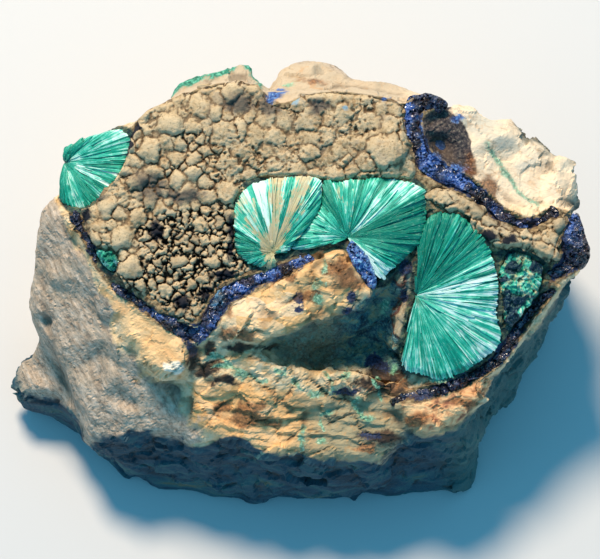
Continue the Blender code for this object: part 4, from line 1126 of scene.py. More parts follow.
def build_right_crust():
    """The narrow strip of crust at the right."""
    rng = random.Random(9)
    x, y, near, level = ground("tan_crust_right", STRIP_STEP, 1.0, 4, 5)
    keep = (near > 0.06) & (near + 0.42 * ripple(x, y, 1.1, 6, 3) > 0.30) & over_block(x, y)
    wx = x + 0.50 * ripple(x, y, 0.9, 73, 3)
    wy = y + 0.50 * ripple(x, y, 0.9, 74, 3)
    zero = np.zeros_like(x)
    rows = pack_lumps(STRIP_LUMPS, (x.min(), x.max(), y.min(), y.max()), rng, [
        (lambda split, mud: True, 0.45, 1.15, 1200, 0.74),
        (lambda split, mud: True, 0.22, 0.45, 2500, 0.86),
    ], (x, y, zero, zero))
    field, gap, shade, _ = crust_relief(rows, x, y, wx, wy, rng, zero, zero + 0.35)
    height = under_fans(x, y, level - 0.35 + field - 0.6 * (1 - smooth_step(0.26, 0.80, near)))
    masks = {"gap": gap, "tone": shade, "cracked": zero + 0.6, "muddy": zero + 0.3, "dusty": zero,
             "inky": stains(x, y, INKY_SPOTS, 1.0, 0.4, 6), "blue": zero, "frost": zero,
             # hollow: for painted shade in the hollows and a painted highlight on the crests.
             "hollow": cavities(height)}
    piece = sheet("tan_crust_strip", x, y, height, keep, CRUST_FOOT, shared(crust_clay), masks)
    settle(piece, "tan_crust", "tan_crust_right")


def crust_clay():
    """Iron-stained clay and calcite: dull tan lumps that turn brown-black down in the gaps, from dark matter
    there and from painted shade.
    """
    material, tree, shader = new_material("ferruginous_crust")
    seen = drawn(tree, "tone", "muddy", "cracked", "hollow", "dusty", "gap", "inky", "blue", "frost")
    grain = mottling(tree, 0.32, 4, 0.7)
    broad = mottling(tree, 2.6, 3, 0.6, 0.3)
    tan = lay(tree, (broad, [(0.30, "#a28a68"), (0.46, "#bda47e"), (0.60, "#cdb692"), (0.74, "#ab946f")]),
              "#c8b18b", (seen["tone"], 0.0, 1.0, 0.0, 0.30))
    tan = lay(tree, tan, "#75603f", (grain, 0.36, 0.46, 0.55, 0))
    tan = lay(tree, tan, "#d8c6a6", (grain, 0.57, 0.70, 0, 0.45))
    tan = lay(tree, tan, "#8d7450", seen["muddy"], (mottling(tree, 0.9, 3, 0.7), 0.50, 0.68))
    tan = lay(tree, tan, "#a27a4c", (mottling(tree, 1.5, 3, 0.6), 0.54, 0.66, 0, 0.45))
    tan = lay(tree, tan, "#8d8577", (mottling(tree, 1.9, 3, 0.6, 0.5), 0.56, 0.68, 0, 0.45))
    tan = lay(tree, tan, "#574c3d", seen["cracked"], (seen["tone"], 0.55, 0.95, 0, 0.6))
    tan = lay(tree, tan, "#4c3d2b", (mottling(tree, 0.20, 2, 0.6), 0.60, 0.68, 0, 0.7))
    # Painted shade in the hollows between lumps and a painted highlight on their crests.
    tan = lay(tree, tan, "#5a4630", (seen["hollow"], 0.52, 0.78, 0, 0.75))
    tan = lay(tree, tan, "#dcc9a5", (seen["hollow"], 0.44, 0.22, 0, 0.25))
    tan = lay(tree, tan, "#3b3a3c", edge(tree, seen["dusty"], grain, 0.3, 0.55), 0.8)
    # The gaps are brown-black: dark matter in the cracks, and painted shade.
    dark = lay(tree, "#5a452d", "#2c2319", seen["cracked"])
    gaps = joined(tree, "ADD", seen["gap"], (grain, 0.35, 0.65, 0.25, -0.35))
    base = lay(tree, tan, dark, (gaps, 0.15, 0.85))
    base = lay(tree, base, "#12131f", edge(tree, seen["inky"], grain, 0.2, 0.6))
    blue = [(0.36, "#1a2550"), (0.48, "#2f5597"), (0.60, "#4f7cb8"), (0.72, "#93b4d2")]
    base = lay(tree, base, (grain, blue), edge(tree, seen["blue"], grain, 0.25, 0.6))
    base = lay(tree, base, "#8ba6b4", edge(tree, seen["frost"], grain, 0.25, 0.6))
    finish(tree, shader, base, 0.85, 1.5, grain, 0.10)
    return material


# ---- tyrolite ------------------------------------------------------------------------
# Each fan: x, y, z and the two leans of its frame on the bench, thickness, rise of the rim,
# first and last angle, number of blades.
FANS = {
    "tyrolite_fan_right": (12.5, -1.6, -1.6, 6.5, 0, 1.1, 0.2, -103, 88, 30),
    "tyrolite_fan_centre": (5.1, 4.5, -1.05, 0, 0, 1.8, -0.2, -53, 198, 34),
    "tyrolite_fan_streaked": (-2.9, 2.9, -0.95, 0, 0, 1.7, 0.0, 0, 285, 26),
    "tyrolite_fan_left": (-25.1, 12.7, -4.6, 0, -20, 1.2, 0.2, -98, 82, 20),
}
# How far each fan reaches from its apex, in mm, along its angle in degrees.
FAN_REACH = {
    "tyrolite_fan_right": [
        (-103, 7.4), (-99, 8.3), (-84, 8.8), (-75, 9.9), (-65, 9.9), (-55, 10), (-44, 10.2), (-35, 10.6),
        (-27, 10.5), (-22, 9.9), (-14, 9.1), (-4, 8.8), (7, 8.9), (17, 9.1), (27, 9.3), (38, 9.6),
        (50, 9.8), (62, 10), (72, 9.7), (80, 9), (84, 7.8), (88, 5.5)],
    "tyrolite_fan_centre": [
        (-53, 5.2), (-50.5, 6.3), (-46, 6.0), (-40, 5.9), (-27, 6.3), (-18, 6.7), (-8, 7.6), (-3, 8.4),
        (6, 8.8), (16, 8.8), (25, 9.5), (31, 10.1), (38, 9.4), (48, 8.4), (61, 7.4), (78, 6.4), (98, 6.2),
        (114, 6.8), (120, 5.6), (125, 5.0), (134, 4.4), (143, 4.2), (157, 4.4), (170, 4.9), (183, 5.8),
        (191, 6.5), (195, 5.6), (198, 3.5)],
    "tyrolite_fan_streaked": [
        (0, 1.6), (9, 1.7), (29, 2.8), (35, 4.3), (40, 6.3), (47, 7.8), (56, 9.5), (64, 9.2), (77, 8.4),
        (92, 8.1), (104, 7.9), (114, 7.5), (127, 6.8), (136, 5.9), (151, 4.7), (169, 4.2), (184, 3.7),
        (214, 2.4), (240, 1.9), (262, 1.9), (285, 1.6)],
    "tyrolite_fan_left": [
        (-98, 4.2), (-84, 5.1), (-66, 6.0), (-45, 6.0), (-22, 6.5), (-5, 7.3), (10, 8.0), (20, 8.8),
        (28, 7.6), (38, 4.9), (55, 2.6), (82, 1.5)],
}
BLADES_PER_DEGREE = 0.85
MIDDLE_REACH, COLUMN_WIDTH = 8.5, 0.085  # mm, for the columns of a fan's surface
CRUMBLED_CORE = {"tyrolite_fan_streaked": 1.0}
# Along the angle of each fan: how pale, how deep green and how tan its blades are. The pale is partly the
# blades' own colour and partly painted sheen where they would catch the light; the deep green is partly
# painted shade.
FAN_TONES = {
    "tyrolite_fan_right": [
        (-103, .45, .10, 0), (-88, .40, .20, 0), (-74, .30, .25, 0), (-66, .50, .10, 0), (-58, .25, .25, 0),
        (-45, .30, .15, 0), (-32, .34, .12, 0), (-20, .45, .05, 0), (-14, .62, 0, 0), (-5, .78, 0, 0),
        (-2.5, .70, 0, 0), (-1.5, 0, .9, 0), (0.5, .85, 0, 0), (3, .95, 0, 0), (4.5, .1, .8, 0),
        (6, .95, 0, 0), (9, .80, 0, 0), (10, .05, .8, 0), (12, .95, 0, 0), (16, 1.0, 0, 0),
        (17.5, .1, .7, 0), (20, .50, .2, 0), (24, .30, .35, 0), (27, .45, .2, 0), (32, .10, .55, 0),
        (45, .08, .60, 0), (58, .08, .64, 0), (66, .14, .55, 0), (74, .2, .6, 0), (84, .15, .8, 0)],
    "tyrolite_fan_centre": [
        (-62, .90, 0, 0), (-50, 1.0, 0, 0), (-38, .95, 0, 0), (-30, .45, .2, 0), (-15, .12, .75, 0),
        (0, .05, .95, 0), (10, .02, 1.1, 0), (20, .0, 1.2, 0), (28, .04, 1.1, 0), (34, .22, .7, 0),
        (39, .55, .2, 0), (44, .25, .5, 0), (50, .62, .1, 0), (58, .30, .35, 0), (66, .45, .15, 0),
        (74, .34, .2, .05), (90, .36, .18, .08), (100, .25, .25, .05), (112, .15, .6, 0), (122, .10, .7, 0),
        (132, .35, .3, 0), (150, .45, .15, 0), (170, .42, .15, 0), (186, .35, .2, 0), (197, .3, .3, 0)],
    "tyrolite_fan_streaked": [
        (-5, .35, .2, .1), (14, .4, .2, .1), (32, .3, .3, .15), (46, .3, .45, .1), (54, .35, .5, .2),
        (60, .25, .55, .35), (65, .35, .1, .75), (70, .45, 0, .85), (74, .3, .5, .35), (79, .55, .1, .35),
        (83, .5, 0, .85), (91, .55, 0, .85), (95, .55, .2, .3), (98, 1.0, 0, 0), (106, 1.0, 0, 0),
        (108, .3, .55, 0), (112, .5, .1, .15), (122, .42, .2, .35), (130, .4, .2, .5), (138, .5, .25, .3),
        (146, .35, .5, .1), (156, .1, .85, 0), (176, .2, .75, 0), (200, .35, .5, .1), (222, .2, .4, .6),
        (240, .2, .3, .9)],
    "tyrolite_fan_left": [
        (-96, .35, .3, 0), (-80, .30, .3, 0), (-70, .75, .05, 0), (-62, .45, .2, 0), (-50, .15, .6, 0),
        (-38, .35, .35, 0), (-30, .1, .65, 0), (-24, .8, .0, 0), (-20, .15, .6, 0), (-12, .75, .05, 0),
        (-6, .15, .6, 0), (0, .35, .35, 0), (10, .3, .4, 0), (22, .45, .2, 0), (34, .3, .35, 0),
        (50, .2, .5, 0), (80, .2, .6, 0)],
}


def fan_frame(name):
    """Where a fan lies on the bench and how it leans."""
    x, y, z, lean_x, lean_y = FANS[name][:5]
    turn = Matrix.Rotation(math.radians(lean_x), 4, "X") @ Matrix.Rotation(math.radians(lean_y), 4, "Y")
    return Matrix.Translation((x, y, z)) @ turn


def blade_table(first, last, count, rng):
    """Uneven blades across a fan: where each starts, its height, tilt, shade and length."""
    cuts = np.cumsum([rng.uniform(0.25, 1.0) ** 1.4 for _ in range(count)])
    cuts = np.concatenate([[0], cuts]) / cuts[-1] * (last - first) + first
    rows = [[rng.uniform(-1, 1), rng.uniform(-1, 1), rng.random(), rng.random()] for _ in range(count)]
    return cuts, np.array(rows)


def blade_relief(angles, cuts, rows):
    """Height, shade and shortening that the blades give at each angle."""
    which = np.clip(np.searchsorted(cuts, angles, side="right") - 1, 0, len(rows) - 1)
    across = (angles - cuts[which]) / (cuts[which + 1] - cuts[which])
    height = 0.55 * rows[which, 0] + rows[which, 1] * (across - 0.5)
    groove = np.exp(-np.minimum(across, 1 - across) * (cuts[which + 1] - cuts[which]) / 0.010)
    groove = groove * (rows[which, 3] > 0.45)
    return height - 0.5 * groove, rows[which, 2], rows[which, 3], groove


def build_fan(name, seed):
    """A spray of fine blades from one point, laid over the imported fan."""
    first, last, count = FANS[name][7:]
    thick, lift = FANS[name][5:7]
    place = fan_frame(name)
    rng = random.Random(seed)
    low, high = math.radians(first), math.radians(last)
    columns = int((high - low) * MIDDLE_REACH / COLUMN_WIDTH)
    angles = np.linspace(low, high, columns)
    table = np.array(FAN_REACH[name])
    reach = soften_line(np.interp(np.degrees(angles), table[:, 0], table[:, 1]), 5)
    cuts, rows = blade_table(low, high, count, rng)
    fine_cuts, fine_rows = blade_table(low, high, count * 4, rng)
    hair_cuts, hair_rows = blade_table(low, high, count * 11, rng)
    tall, shade, short, groove = blade_relief(angles, cuts, rows)
    fine, fine_shade, fine_short, _ = blade_relief(angles, fine_cuts, fine_rows)
    hair, hair_shade, hair_short, _ = blade_relief(angles, hair_cuts, hair_rows)
    reach = reach * (1.0 - 0.02 * short - 0.02 * fine_short) - 0.06 * hair_short
    # Rows from the apex to the rim, closer together at the rim.
    parts = np.concatenate([np.linspace(0.012, 0.9, 46), np.linspace(0.912, 1.0, 9)])
    part, a = np.meshgrid(parts, np.arange(columns), indexing="ij")
    angle = angles[a]
    swell = thick * (0.75 + 0.35 * np.sin(part * math.pi)) + lift * part
    spread = smooth_step(0.0, 0.55, part)
    where = np.stack([angle.ravel() * 9, part.ravel() * 2.2, 0 * part.ravel() + seed], axis=1)
    uneven = soft_noise(where, 1.0, 7, 2)
    relief = 0.10 * tall[a] * spread + 0.050 * fine[a] * smooth_step(0.1, 0.6, part) \
        + 0.028 * hair[a] * smooth_step(0.15, 0.7, part) + 0.12 * uneven.reshape(part.shape) * spread
    worn = smooth_step(0.92, 1.0, part)
    height = swell + relief - worn * (0.12 + 0.25 * fine_short[a])
    x = reach[a] * part * np.cos(angle)
    y = reach[a] * part * np.sin(angle)
    turn = np.array(place.to_3x3())
    points = np.stack([x.ravel(), y.ravel(), height.ravel()], axis=1) @ turn.T + np.array(place.translation)
    index = np.arange(part.size).reshape(part.shape)
    corners = [index[:-1, :-1], index[1:, :-1], index[1:, 1:], index[:-1, 1:]]
    quads = np.stack(corners, axis=-1).reshape(-1, 4)
    tones = np.array(FAN_TONES[name], float)
    wander = np.stack([angle.ravel() * 5, part.ravel() * 3, 0 * part.ravel() + seed], axis=1)
    drift = angle.ravel() + 0.035 * soft_noise(wander, 1.0, 17, 2) * (1.2 - part.ravel())
    at = np.degrees(drift) + 1.4 * (shade[a].ravel() - 0.5)
    pale, deep, tan = (np.interp(at, tones[:, 0], tones[:, k]) for k in (1, 2, 3))
    pale = pale + 0.24 * (fine_shade[a].ravel() - 0.5) + 0.20 * (hair_shade[a].ravel() - 0.5)
    deep = deep + 0.30 * (shade[a].ravel() - 0.5) + 0.22 * (fine_shade[a].ravel() - 0.5)
    # Broad wedges painted paler or deeper: painted light and shade.
    sector = sectors(angle.ravel(), part.ravel(), seed)
    pale, deep = pale + 0.20 * sector, deep - 0.30 * sector
    tan = tan + CRUMBLED_CORE.get(name, 0) * smooth_step(0.42, 0.16, part.ravel())
    frost = smooth_step(0.80, 0.98, part.ravel() + 0.06 * (hair_short[a].ravel() - 0.5))
    masks = {"pale": np.clip(pale, 0, 1), "deep": np.clip(deep, 0, 1), "tan": tan, "frost": frost,
             "angle": drift * 10, "along": part.ravel(),
             "groove": np.clip(groove[a].ravel() * smooth_step(0.1, 0.4, part.ravel()), 0, 1)}
    loose, sides, more = sheaf(name, rng, table, seed)
    loose = loose @ turn.T + np.array(place.translation)
    faces = np.concatenate([quads, sides + len(points)])
    masks = {key: np.concatenate([value, more[key]]) for key, value in masks.items()}
    piece = make_piece(name.replace("tyrolite", "blades"), np.concatenate([points, loose]), faces,
                       shared(tyrolite), True, masks)
    flat = np.arange(len(faces)) < len(quads)
    piece.data.polygons.foreach_set("use_smooth", flat.tolist())
    close_under(piece, place, 0.0)
    settle(piece, "tyrolite", name)


def sectors(angle, part, seed):
    """Broad wedges of a fan painted paler or deeper, as painted light and shade of wedges that lean to or
    from the light.
    """
    where = np.stack([angle * 2.9, part * 0.9, 0 * part + seed], axis=1)
    return np.clip(1.7 * soft_noise(where, 1.0, 19, 2), -1, 1)


def sheaf(name, rng, table, seed):
    """Single blades that lie over a fan, each of its own length, width, tilt and shade."""
    first, last = FANS[name][7:9]
    thick, lift = FANS[name][5:7]
    tones = np.array(FAN_TONES[name], float)
    points, faces, rows = [], [], []
    stations = np.linspace(0, 1, 6)
    for number in range(int((last - first) * BLADES_PER_DEGREE)):
        theta = rng.uniform(first - 1.5, last + 1.5)
        size = float(np.interp(theta, table[:, 0], table[:, 1])) * (1 if first < theta < last else 0.8)
        begin = 0.62 * rng.random() ** 1.5
        end = begin + rng.uniform(0.22, 0.75)
        if rng.random() < 0.16:
            begin, end = rng.uniform(0.0, 0.08), rng.uniform(0.12, 0.35)
        end = rng.uniform(0.93, 0.99) if end > 0.84 else end
        crook = math.radians(rng.gauss(0, 2.2)) * (1.4 if end < 0.36 else 1)
        wide = rng.uniform(0.08, 0.18) + 0.34 * rng.random() ** 3
        rise = 0.03 + 0.15 * rng.random() ** 2
        tilt = rng.uniform(-0.45, 0.45) * (1 if rng.random() < 0.4 else 0.45)
        away = (begin + (end - begin) * stations) * size
        angle = math.radians(theta) + crook * (stations - 0.4)
        half = 0.5 * wide * np.array([0.25, 0.6, 0.85, 1.0, 1.0, 0.55])
        part = away / size
        level = thick * (0.75 + 0.35 * np.sin(np.clip(part, 0, 1) * math.pi)) + lift * part
        level = level + rise * np.array([0.0, 0.7, 1.0, 1.0, 0.9, 0.5]) - 0.13 * smooth_step(0.92, 1.0, part)
        shift = rng.uniform(-0.12, 0.12)
        mid = np.stack([away * np.cos(angle) - shift * np.sin(angle),
                        away * np.sin(angle) + shift * np.cos(angle)])
        side = np.stack([-np.sin(angle), np.cos(angle)])
        pale, deep, tan = (float(np.interp(theta, tones[:, 0], tones[:, k])) for k in (1, 2, 3))
        sector = float(sectors(np.array([math.radians(theta)]), np.array([0.5 * (begin + end)]), seed)[0])
        # glow: a random part, and the painted light of the blade's wedge.
        glow = rng.gauss(0, 0.11) + 0.20 * sector
        shade = (pale + glow, deep - 0.8 * glow + rng.gauss(0, 0.08),
                 tan + (rng.gauss(0, 0.2) if tan > 0.05 else 0))
        start = 4 * len(stations) * number
        for k in range(len(stations)):
            for way, low in ((-1, 0), (1, 0), (1, 1), (-1, 1)):
                spot = mid[:, k] + way * half[k] * side[:, k]
                points.append((spot[0], spot[1], level[k] + (way * tilt * half[k] if not low else -0.30)))
                twist = (angle[k] + way * half[k] / max(away[k], 0.6)) * 10 + number * 0.37
                crumbled = CRUMBLED_CORE.get(name, 0) * float(smooth_step(0.42, 0.16, part[k]))
                # The last value, groove, is painted shade along the blade's lower edge.
                rows.append((*shade[:2], shade[2] + crumbled, 0.5 * (part[k] > 0.9),
                             twist, part[k], 0.8 * low))
        for k in range(len(stations) - 1):
            a = start + 4 * k
            faces += [(a + j, a + 4 + j, a + 4 + (j + 1) % 4, a + (j + 1) % 4) for j in range(4)]
        a = start + 4 * (len(stations) - 1)
        faces += [(start + 3, start + 2, start + 1, start), (a, a + 1, a + 2, a + 3)]
    rows = np.array(rows)
    keys = ("pale", "deep", "tan", "frost", "angle", "along", "groove")
    masks = {key: rows[:, k] for k, key in enumerate(keys)}
    for key in ("pale", "deep", "tan"):
        masks[key] = np.clip(masks[key], 0, 1)
    return np.array(points), np.array(faces), masks


def soften_line(values, width):
    """A row of values averaged over so many neighbours either way."""
    kernel = np.ones(2 * width + 1) / (2 * width + 1)
    return np.convolve(np.pad(values, width, mode="edge"), kernel, mode="valid")


def close_under(piece, place, foot):
    """Gives an open surface straight sides and a flat underside in its own frame."""
    bm = bmesh.new()
    bm.from_mesh(piece.data)
    rim = [edge for edge in bm.edges if edge.is_boundary]
    to_world_frame = Matrix.Scale(0.001, 4) @ Matrix.Translation(BENCH_ZERO) \
        @ Matrix.Rotation(BENCH_TILT, 4, "X") @ place
    back = to_world_frame.inverted()
    # The sides are made edge by edge, as the extrude operator's order changes from run to run.
    lowered = {}
    for vert in [vert for vert in bm.verts if vert.is_boundary]:
        local = back @ vert.co
        local.z = foot
        lowered[vert] = bm.verts.new(to_world_frame @ local, vert)
    for edge in rim:
        bm.edges.new([lowered[vert] for vert in edge.verts])
    for edge in rim:
        loop = edge.link_loops[0]
        near, far = loop.vert, edge.other_vert(loop.vert)
        bm.faces.new((far, near, lowered[near], lowered[far]), loop.face)
    bmesh.ops.holes_fill(bm, edges=[edge for edge in bm.edges if edge.is_boundary], sides=0)
    bmesh.ops.recalc_face_normals(bm, faces=bm.faces)
    bm.to_mesh(piece.data)
    bm.free()


def tyrolite():
    """Tyrolite: silky blue-green blades with a pearly sheen, pale where a blade catches the light."""
    material, tree, shader = new_material("tyrolite_blades")
    seen = drawn(tree, "angle", "along", "pale", "frost", "deep", "tan", "ink", "groove")
    # The real fibres are too fine to show, so they are drawn about a tenth of a millimetre wide.
    where = add_node(tree, "CombineXYZ", {}, {"X": seen["angle"], "Y": seen["along"]})
    fibres = []
    for scale, detail in (((2.2, 1.8, 1), 3.0), ((8.0, 3.0, 1), 4.0), ((14.0, 14.0, 1), 2.0)):
        stretched = add_node(tree, "Mapping", {}, {"Vector": where, "Scale": scale})
        inputs = {"Vector": stretched, "Scale": 1.0, "Detail": detail, "Roughness": 0.7}
        fibres.append(add_node(tree, "TexNoise", {}, inputs))
    broad, fine, glints = fibres
    cloud = mottling(tree, 1.3, 3, 0.6)
    lively = joined(tree, "ADD", (broad, 0.34, 0.66, -0.22, 0.22), (fine, 0.34, 0.66, -0.17, 0.17))
    pale = joined(tree, "ADD", seen["pale"], lively, (cloud, 0.35, 0.65, -0.12, 0.12),
                  joined(tree, "MULTIPLY", seen["frost"], 0.16))
    deep = joined(tree, "SUBTRACT", seen["deep"], joined(tree, "MULTIPLY", lively, 1.2))
    tan = joined(tree, "ADD", seen["tan"], joined(tree, "MULTIPLY", lively, 0.8),
                 (cloud, 0.38, 0.62, -0.25, 0.25))
    greens = [(0.04, "#0b957f"), (0.30, "#20ae94"), (0.58, "#5cd3bc"), (0.94, "#e2fcf6")]
    base = lay(tree, (faded(tree, (pale, -0.05, 1.02)), greens), "#05735f", (deep, 0.26, 0.90, 0, 0.90))
    base = lay(tree, base, "#ceb488", (tan, 0.34, 0.80, 0, 0.88))
    base = lay(tree, base, "#1a2140", edge(tree, seen["ink"], cloud, 0.2, 0.5))
    # Painted shade in dark green between the blades, along their lower edges and in low spots.
    base = lay(tree, base, "#023a2e", seen["groove"], 0.6)
    base = lay(tree, base, "#cdf8e6", (glints, 0.60, 0.72, 0, 0.6))
    base = lay(tree, base, "#04463a", (glints, 0.37, 0.28, 0, 0.5))
    base = lay(tree, base, "#5c5a42", (seen["along"], 0.16, 0.03, 0, 0.75), (cloud, 0.40, 0.60))
    finish(tree, shader, base, 0.46, 1.6, fine, 0.05)
    shader.inputs["Specular Tint"].default_value = colour("#a8ffee")
    shader.inputs["Sheen Weight"].default_value = 0.08
    shader.inputs["Sheen Roughness"].default_value = 0.3
    shader.inputs["Sheen Tint"].default_value = colour("#bff2e6")
    return material


# ---- azurite -------------------------------------------------------------------------
RIM_NODES = ["azurite_rim_front", "azurite_rim_back", "azurite_seam_lower", "azurite_tip", "azurite_wedge"]
BRIGHT_BLUE = [(-9.6, -5.2, 2.0, 1.6), (-7.0, -1.2, 2.4, 1.4), (-4.0, 0.6, 2.4, 1.3), (0.5, 2.3, 2.6, 1.2),
               (6.6, 1.8, 2.4, 3.0), (11.5, 17.5, 1.2, 3.0), (13.8, 12.6, 1.6, 2.6), (17.5, 10.6, 2.4, 1.4),
               (21.4, 7.4, 2.2, 1.6), (28.6, 6.4, 1.4, 2.4), (-13.6, -3.6, 3.4, 0.9), (24.6, 5.6, 1.4, 0.8)]
WEDGE_BAND = [(4.9, 3.4), (5.5, 1.8), (6.5, 0.3), (7.7, -1.3), (8.5, -0.5), (7.7, 1.6), (6.6, 3.2),
              (5.5, 4.1)]
WIDE_RIM = [(-22.0, 3.2, 2.4, 3.4), (-19.0, -0.6, 2.2, 2.2)]
THIN_RIM = [(19.0, 10.6, 1.6, 1.4), (21.5, 7.6, 2.6, 1.4), (24.6, 6.0, 2.4, 1.6), (28.6, 8.2, 1.2, 1.0),
            (-22.6, 3.6, 1.6, 4.2), (-20.0, -1.0, 2.4, 2.6), (-17.0, -3.4, 2.6, 1.6), (24.6, 8.0, 1.5, 1.5),
            (20.0, 9.0, 2.6, 1.2), (12.5, -12.6, 6.0, 3.0), (20.5, -9.8, 4.5, 3.4), (25.4, -4.6, 3.4, 4.4)]
LIGHT_BLUE = [(-9.0, -2.0, 0.8, 0.9), (16.6, 17.2, 0.5, 0.4), (17.6, 16.4, 0.4, 0.4)]
# Each green aggregate: its solid and its name, its grid's step and its facets' size in mm, its middle,
# a seed, its foot, how inky it is and how pale.
CRUMBS = [("tyrolite_button", "green_button", 0.08, 0.5, (-20.4, 2.4), 8, -1.4, 0, 1.0),
          ("tyrolite_tuft_right", "green_tuft", 0.10, 0.6, (23.2, 1.6), 21, -3.0, 0.9, 0.60)]


def build_azurite(name, seed):
    """A druse of small crystals over a packed azurite solid."""
    x, y, near, level = ground(name, DRUSE_STEP, 1.0, 4, 5)
    plane = on_plane(x, y)
    wedge = name == "azurite_wedge"
    if wedge:
        near = np.maximum(near, zone_value(x, y, WEDGE_BAND, 0.5))
    fray = 0.46 * ripple(x, y, 1.7, seed, 3) + 0.30 * ripple(x, y, 0.5, seed + 1, 3)
    thin = spots(plane, THIN_RIM).reshape(x.shape)
    thin = thin * (1 - 0.7 * spots(plane, WIDE_RIM).reshape(x.shape))
    keep = (near > 0.12) & (near + fray * (1 - 0.5 * thin) > 0.32 + 0.36 * thin) & over_block(x, y)
    moved = warped(plane, 0.8, 0.12, seed + 3)
    big = broken_facets(moved, 0.85, seed + 5, 1.3)[0]
    small = broken_facets(moved, 0.42, seed + 6, 1.4)[0]
    tiny = broken_facets(moved, 0.24, seed + 7, 1.3)[0]
    facets = (0.20 * big + 0.17 * small + 0.10 * tiny).reshape(x.shape)
    lumpy = 0.34 * ripple(x, y, 1.5, seed + 9, 2) + 0.20 * ripple(x, y, 0.6, seed + 10, 2)
    height = level + facets + lumpy - 0.55 * (1 - smooth_step(0.20, 0.95, near)) - 0.38 - 0.1 * thin
    foot = node_points(name)[0][:, 2].min() - 0.1
    masks = {"bright": stains(x, y, BRIGHT_BLUE, 1.2, 0.6, 21),
             "light": stains(x, y, LIGHT_BLUE, 1.2, 0.6, 21),
             # low: the low spots between crystals, painted as shade.
             "low": smooth_step(0.0, -0.20, facets),
             "rusty": smooth_step(0.0, 0.4, ripple(x, y, 1.8, seed + 12, 3)),
             "tone": cell_random(np.floor(moved / 0.48).astype(np.int64), 3).reshape(x.shape)}
    if wedge:
        masks["bright"] = np.ones(x.shape)
        # The wedge is paler blue throughout, and paler still on its raised facets as a painted highlight.
        masks["light"] = 0.30 + 0.35 * smooth_step(0.0, 0.3, facets)
        masks["rusty"] = 0.2 * masks["rusty"]
    piece = sheet(name.replace("azurite", "druse"), x, y, height, keep, foot, shared(azurite), masks)
    piece.data.polygons.foreach_set("use_smooth", [False] * len(piece.data.polygons))
    settle(piece, "azurite", name)


def azurite():
    """Azurite: glassy blue crystals, nearly black where they are deep, and painted nearly black as shade
    where they sit low.
    """
    material, tree, shader = new_material("azurite")
    seen = drawn(tree, "tone", "bright", "light", "low", "rusty")
    grain = mottling(tree, 0.28, 3, 0.65)
    patch = mottling(tree, 0.9, 3, 0.6)
    depth = joined(tree, "ADD", joined(tree, "MULTIPLY", patch, 0.6),
                   joined(tree, "MULTIPLY", seen["tone"], 0.4))
    base = lay(tree, (depth, [(0.28, "#141219"), (0.46, "#22253a"), (0.60, "#38405f"), (0.74, "#66687a")]),
               (grain, [(0.32, "#22356e"), (0.44, "#3d5fa8"), (0.56, "#6685c4"), (0.70, "#a6b9d8")]),
               edge(tree, seen["bright"], patch, 0.30, 0.60))
    base = lay(tree, base, "#7db4d8", edge(tree, seen["light"], grain, 0.2, 0.5))
    # Painted shade, nearly black, where the crystals sit low.
    base = lay(tree, base, "#04060f", seen["low"], 0.8)
    base = lay(tree, base, "#392f2e", edge(tree, seen["rusty"], grain, 0.25, 0.62), 0.8)
    finish(tree, shader, base, 0.25, 1.75, grain, 0.05)
    return material


def build_crumbs(node, name, step, cell, middle, seed, foot, ink, glow):
    """A small mottled green aggregate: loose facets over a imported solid."""
    x, y, near, level = ground(node, step, 0.6, 2, 4)
    plane = on_plane(x, y)
    fray = (0.50 + 0.3 * ink) * ripple(x, y, 1.0, 6, 3)
    keep = (near > 0.10) & (near + fray > 0.42) & over_block(x, y)
    facets = broken_facets(warped(plane, 0.5, 0.10, seed), cell, seed + 4, 1.6)[0]
    fine = broken_facets(plane, cell * 0.45, seed + 5, 1.4)[0]
    relief = (0.30 * facets + 0.13 * fine).reshape(x.shape)
    height = level + relief - 0.6 * (1 - smooth_step(0.36, 0.95, near))
    away = np.hypot(x - middle[0], y - middle[1])
    core = np.exp(-(away / 0.85) ** 2)
    mottled = ripple(x, y, 1.2, seed + 7, 3)
    speck = cell_random(np.floor(warped(plane, 0.4, 0.2, 3) / cell).astype(np.int64), 5).reshape(x.shape)
    masks = {"frost": 0 * x,
             # pale: partly the aggregate's own colour, partly painted highlights on scattered facets.
             "pale": np.clip(glow * (0.25 + 0.55 * speck) + 0.4 * mottled - 0.4 * core, 0, 1),
             "deep": np.clip(0.25 - 0.8 * mottled + 0.9 * core - 0.3 * speck, 0, 1),
             "tan": 0.55 * ink * smooth_step(-0.4, 0.3, mottled),
             "angle": np.arctan2(y - middle[1], x - middle[0]) * 10, "along": 0.3 + away / 6,
             # groove: painted shade in the low spots.
             "groove": np.clip(-relief * 2.4, 0, 1),
             "ink": ink * smooth_step(-0.35, 0.15, -mottled) + 0 * x}
    piece = sheet(name, x, y, height, keep, foot, shared(tyrolite), masks)
    settle(piece, "tyrolite", node)


# ---- stage ---------------------------------------------------------------------------
VIEW_DISTANCE = 0.350
PIXEL = 0.000107  # metres across one pixel at the bench
FRAME_WIDE = 600  # pixels
SENSOR = 36  # mm
NEAREST = 0.01  # metres; nothing nearer to the camera is drawn
# The key lamp: its width and distance in metres, watts, linear colour and the way to it on the bench.
KEY_SIZE, KEY_DISTANCE, KEY_POWER = 0.15, 0.6, 5.7
KEY_COLOUR = (1.0, 0.80, 0.60)
KEY_WAY = (-0.17, 0.75, 0.64)
# The linear colours of the sky and the board, and the board's half width in metres.
SKY = (0.096, 0.390, 0.630, 1)
BOARD = (0.617, 0.62, 0.622, 1)
BOARD_REACH = 1.5
BOARD_DROP = 0.00005  # keeps the board's face clear of the stone's


def aim(obj, target):
    """Turns an object's view toward a target."""
    obj.rotation_mode = "QUATERNION"
    obj.rotation_quaternion = (Vector(target) - obj.location).to_track_quat("-Z", "Y")


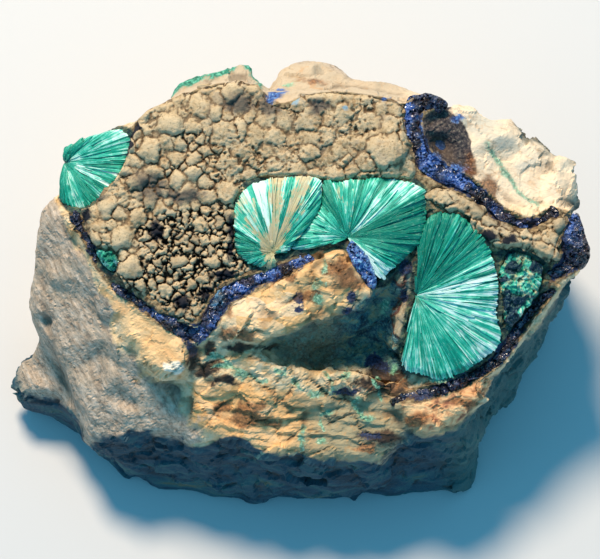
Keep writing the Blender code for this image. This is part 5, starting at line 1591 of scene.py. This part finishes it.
def add_camera():
    """A camera square to the bench, in front of its middle."""
    data = bpy.data.cameras.new("camera")
    data.sensor_width = SENSOR
    data.lens = SENSOR * VIEW_DISTANCE / (FRAME_WIDE * PIXEL)
    data.clip_start = NEAREST
    camera = bpy.data.objects.new("camera", data)
    camera.matrix_world = Matrix.Translation(BENCH_ZERO * 0.001) @ Matrix.Rotation(BENCH_TILT, 4, "X")
    camera.matrix_world = camera.matrix_world @ Matrix.Translation((0, 0, VIEW_DISTANCE))
    bpy.context.scene.collection.objects.link(camera)
    bpy.context.scene.camera = camera


def add_lights():
    """A warm key from behind, a little left, and a cool sky that fills the shade."""
    data = bpy.data.lights.new("key", "AREA")
    data.shape = "DISK"
    data.size = KEY_SIZE
    data.energy = KEY_POWER
    data.color = KEY_COLOUR
    key = bpy.data.objects.new("key", data)
    way = BENCH.to_3x3() @ Vector(KEY_WAY).normalized()
    key.location = BENCH_ZERO * 0.001 + way * KEY_DISTANCE
    aim(key, BENCH_ZERO * 0.001)
    bpy.context.scene.collection.objects.link(key)
    world = bpy.data.worlds.new("studio")
    world.use_nodes = True
    world.node_tree.nodes["Background"].inputs["Color"].default_value = SKY
    bpy.context.scene.world = world


def add_floor():
    """A matte board under the specimen."""
    bm = bmesh.new()
    bmesh.ops.create_grid(bm, x_segments=1, y_segments=1, size=BOARD_REACH)
    mesh = bpy.data.meshes.new("floor")
    bm.to_mesh(mesh)
    bm.free()
    floor = bpy.data.objects.new("floor", mesh)
    floor.location.z = -BOARD_DROP
    bpy.context.scene.collection.objects.link(floor)
    material, _, shader = new_material("matte_white_board")
    shader.inputs["Base Color"].default_value = BOARD
    shader.inputs["Roughness"].default_value = 0.8
    mesh.materials.append(material)


bpy.context.scene.view_settings.view_transform = "Standard"
add_camera()
add_lights()
add_floor()
survey()
build_rock()
build_crust()
build_right_crust()
for seed, name in enumerate(FANS, start=31):
    build_fan(name, seed)
for row in CRUMBS:
    build_crumbs(*row)
for seed, name in enumerate(RIM_NODES, start=50):
    build_azurite(name, seed)
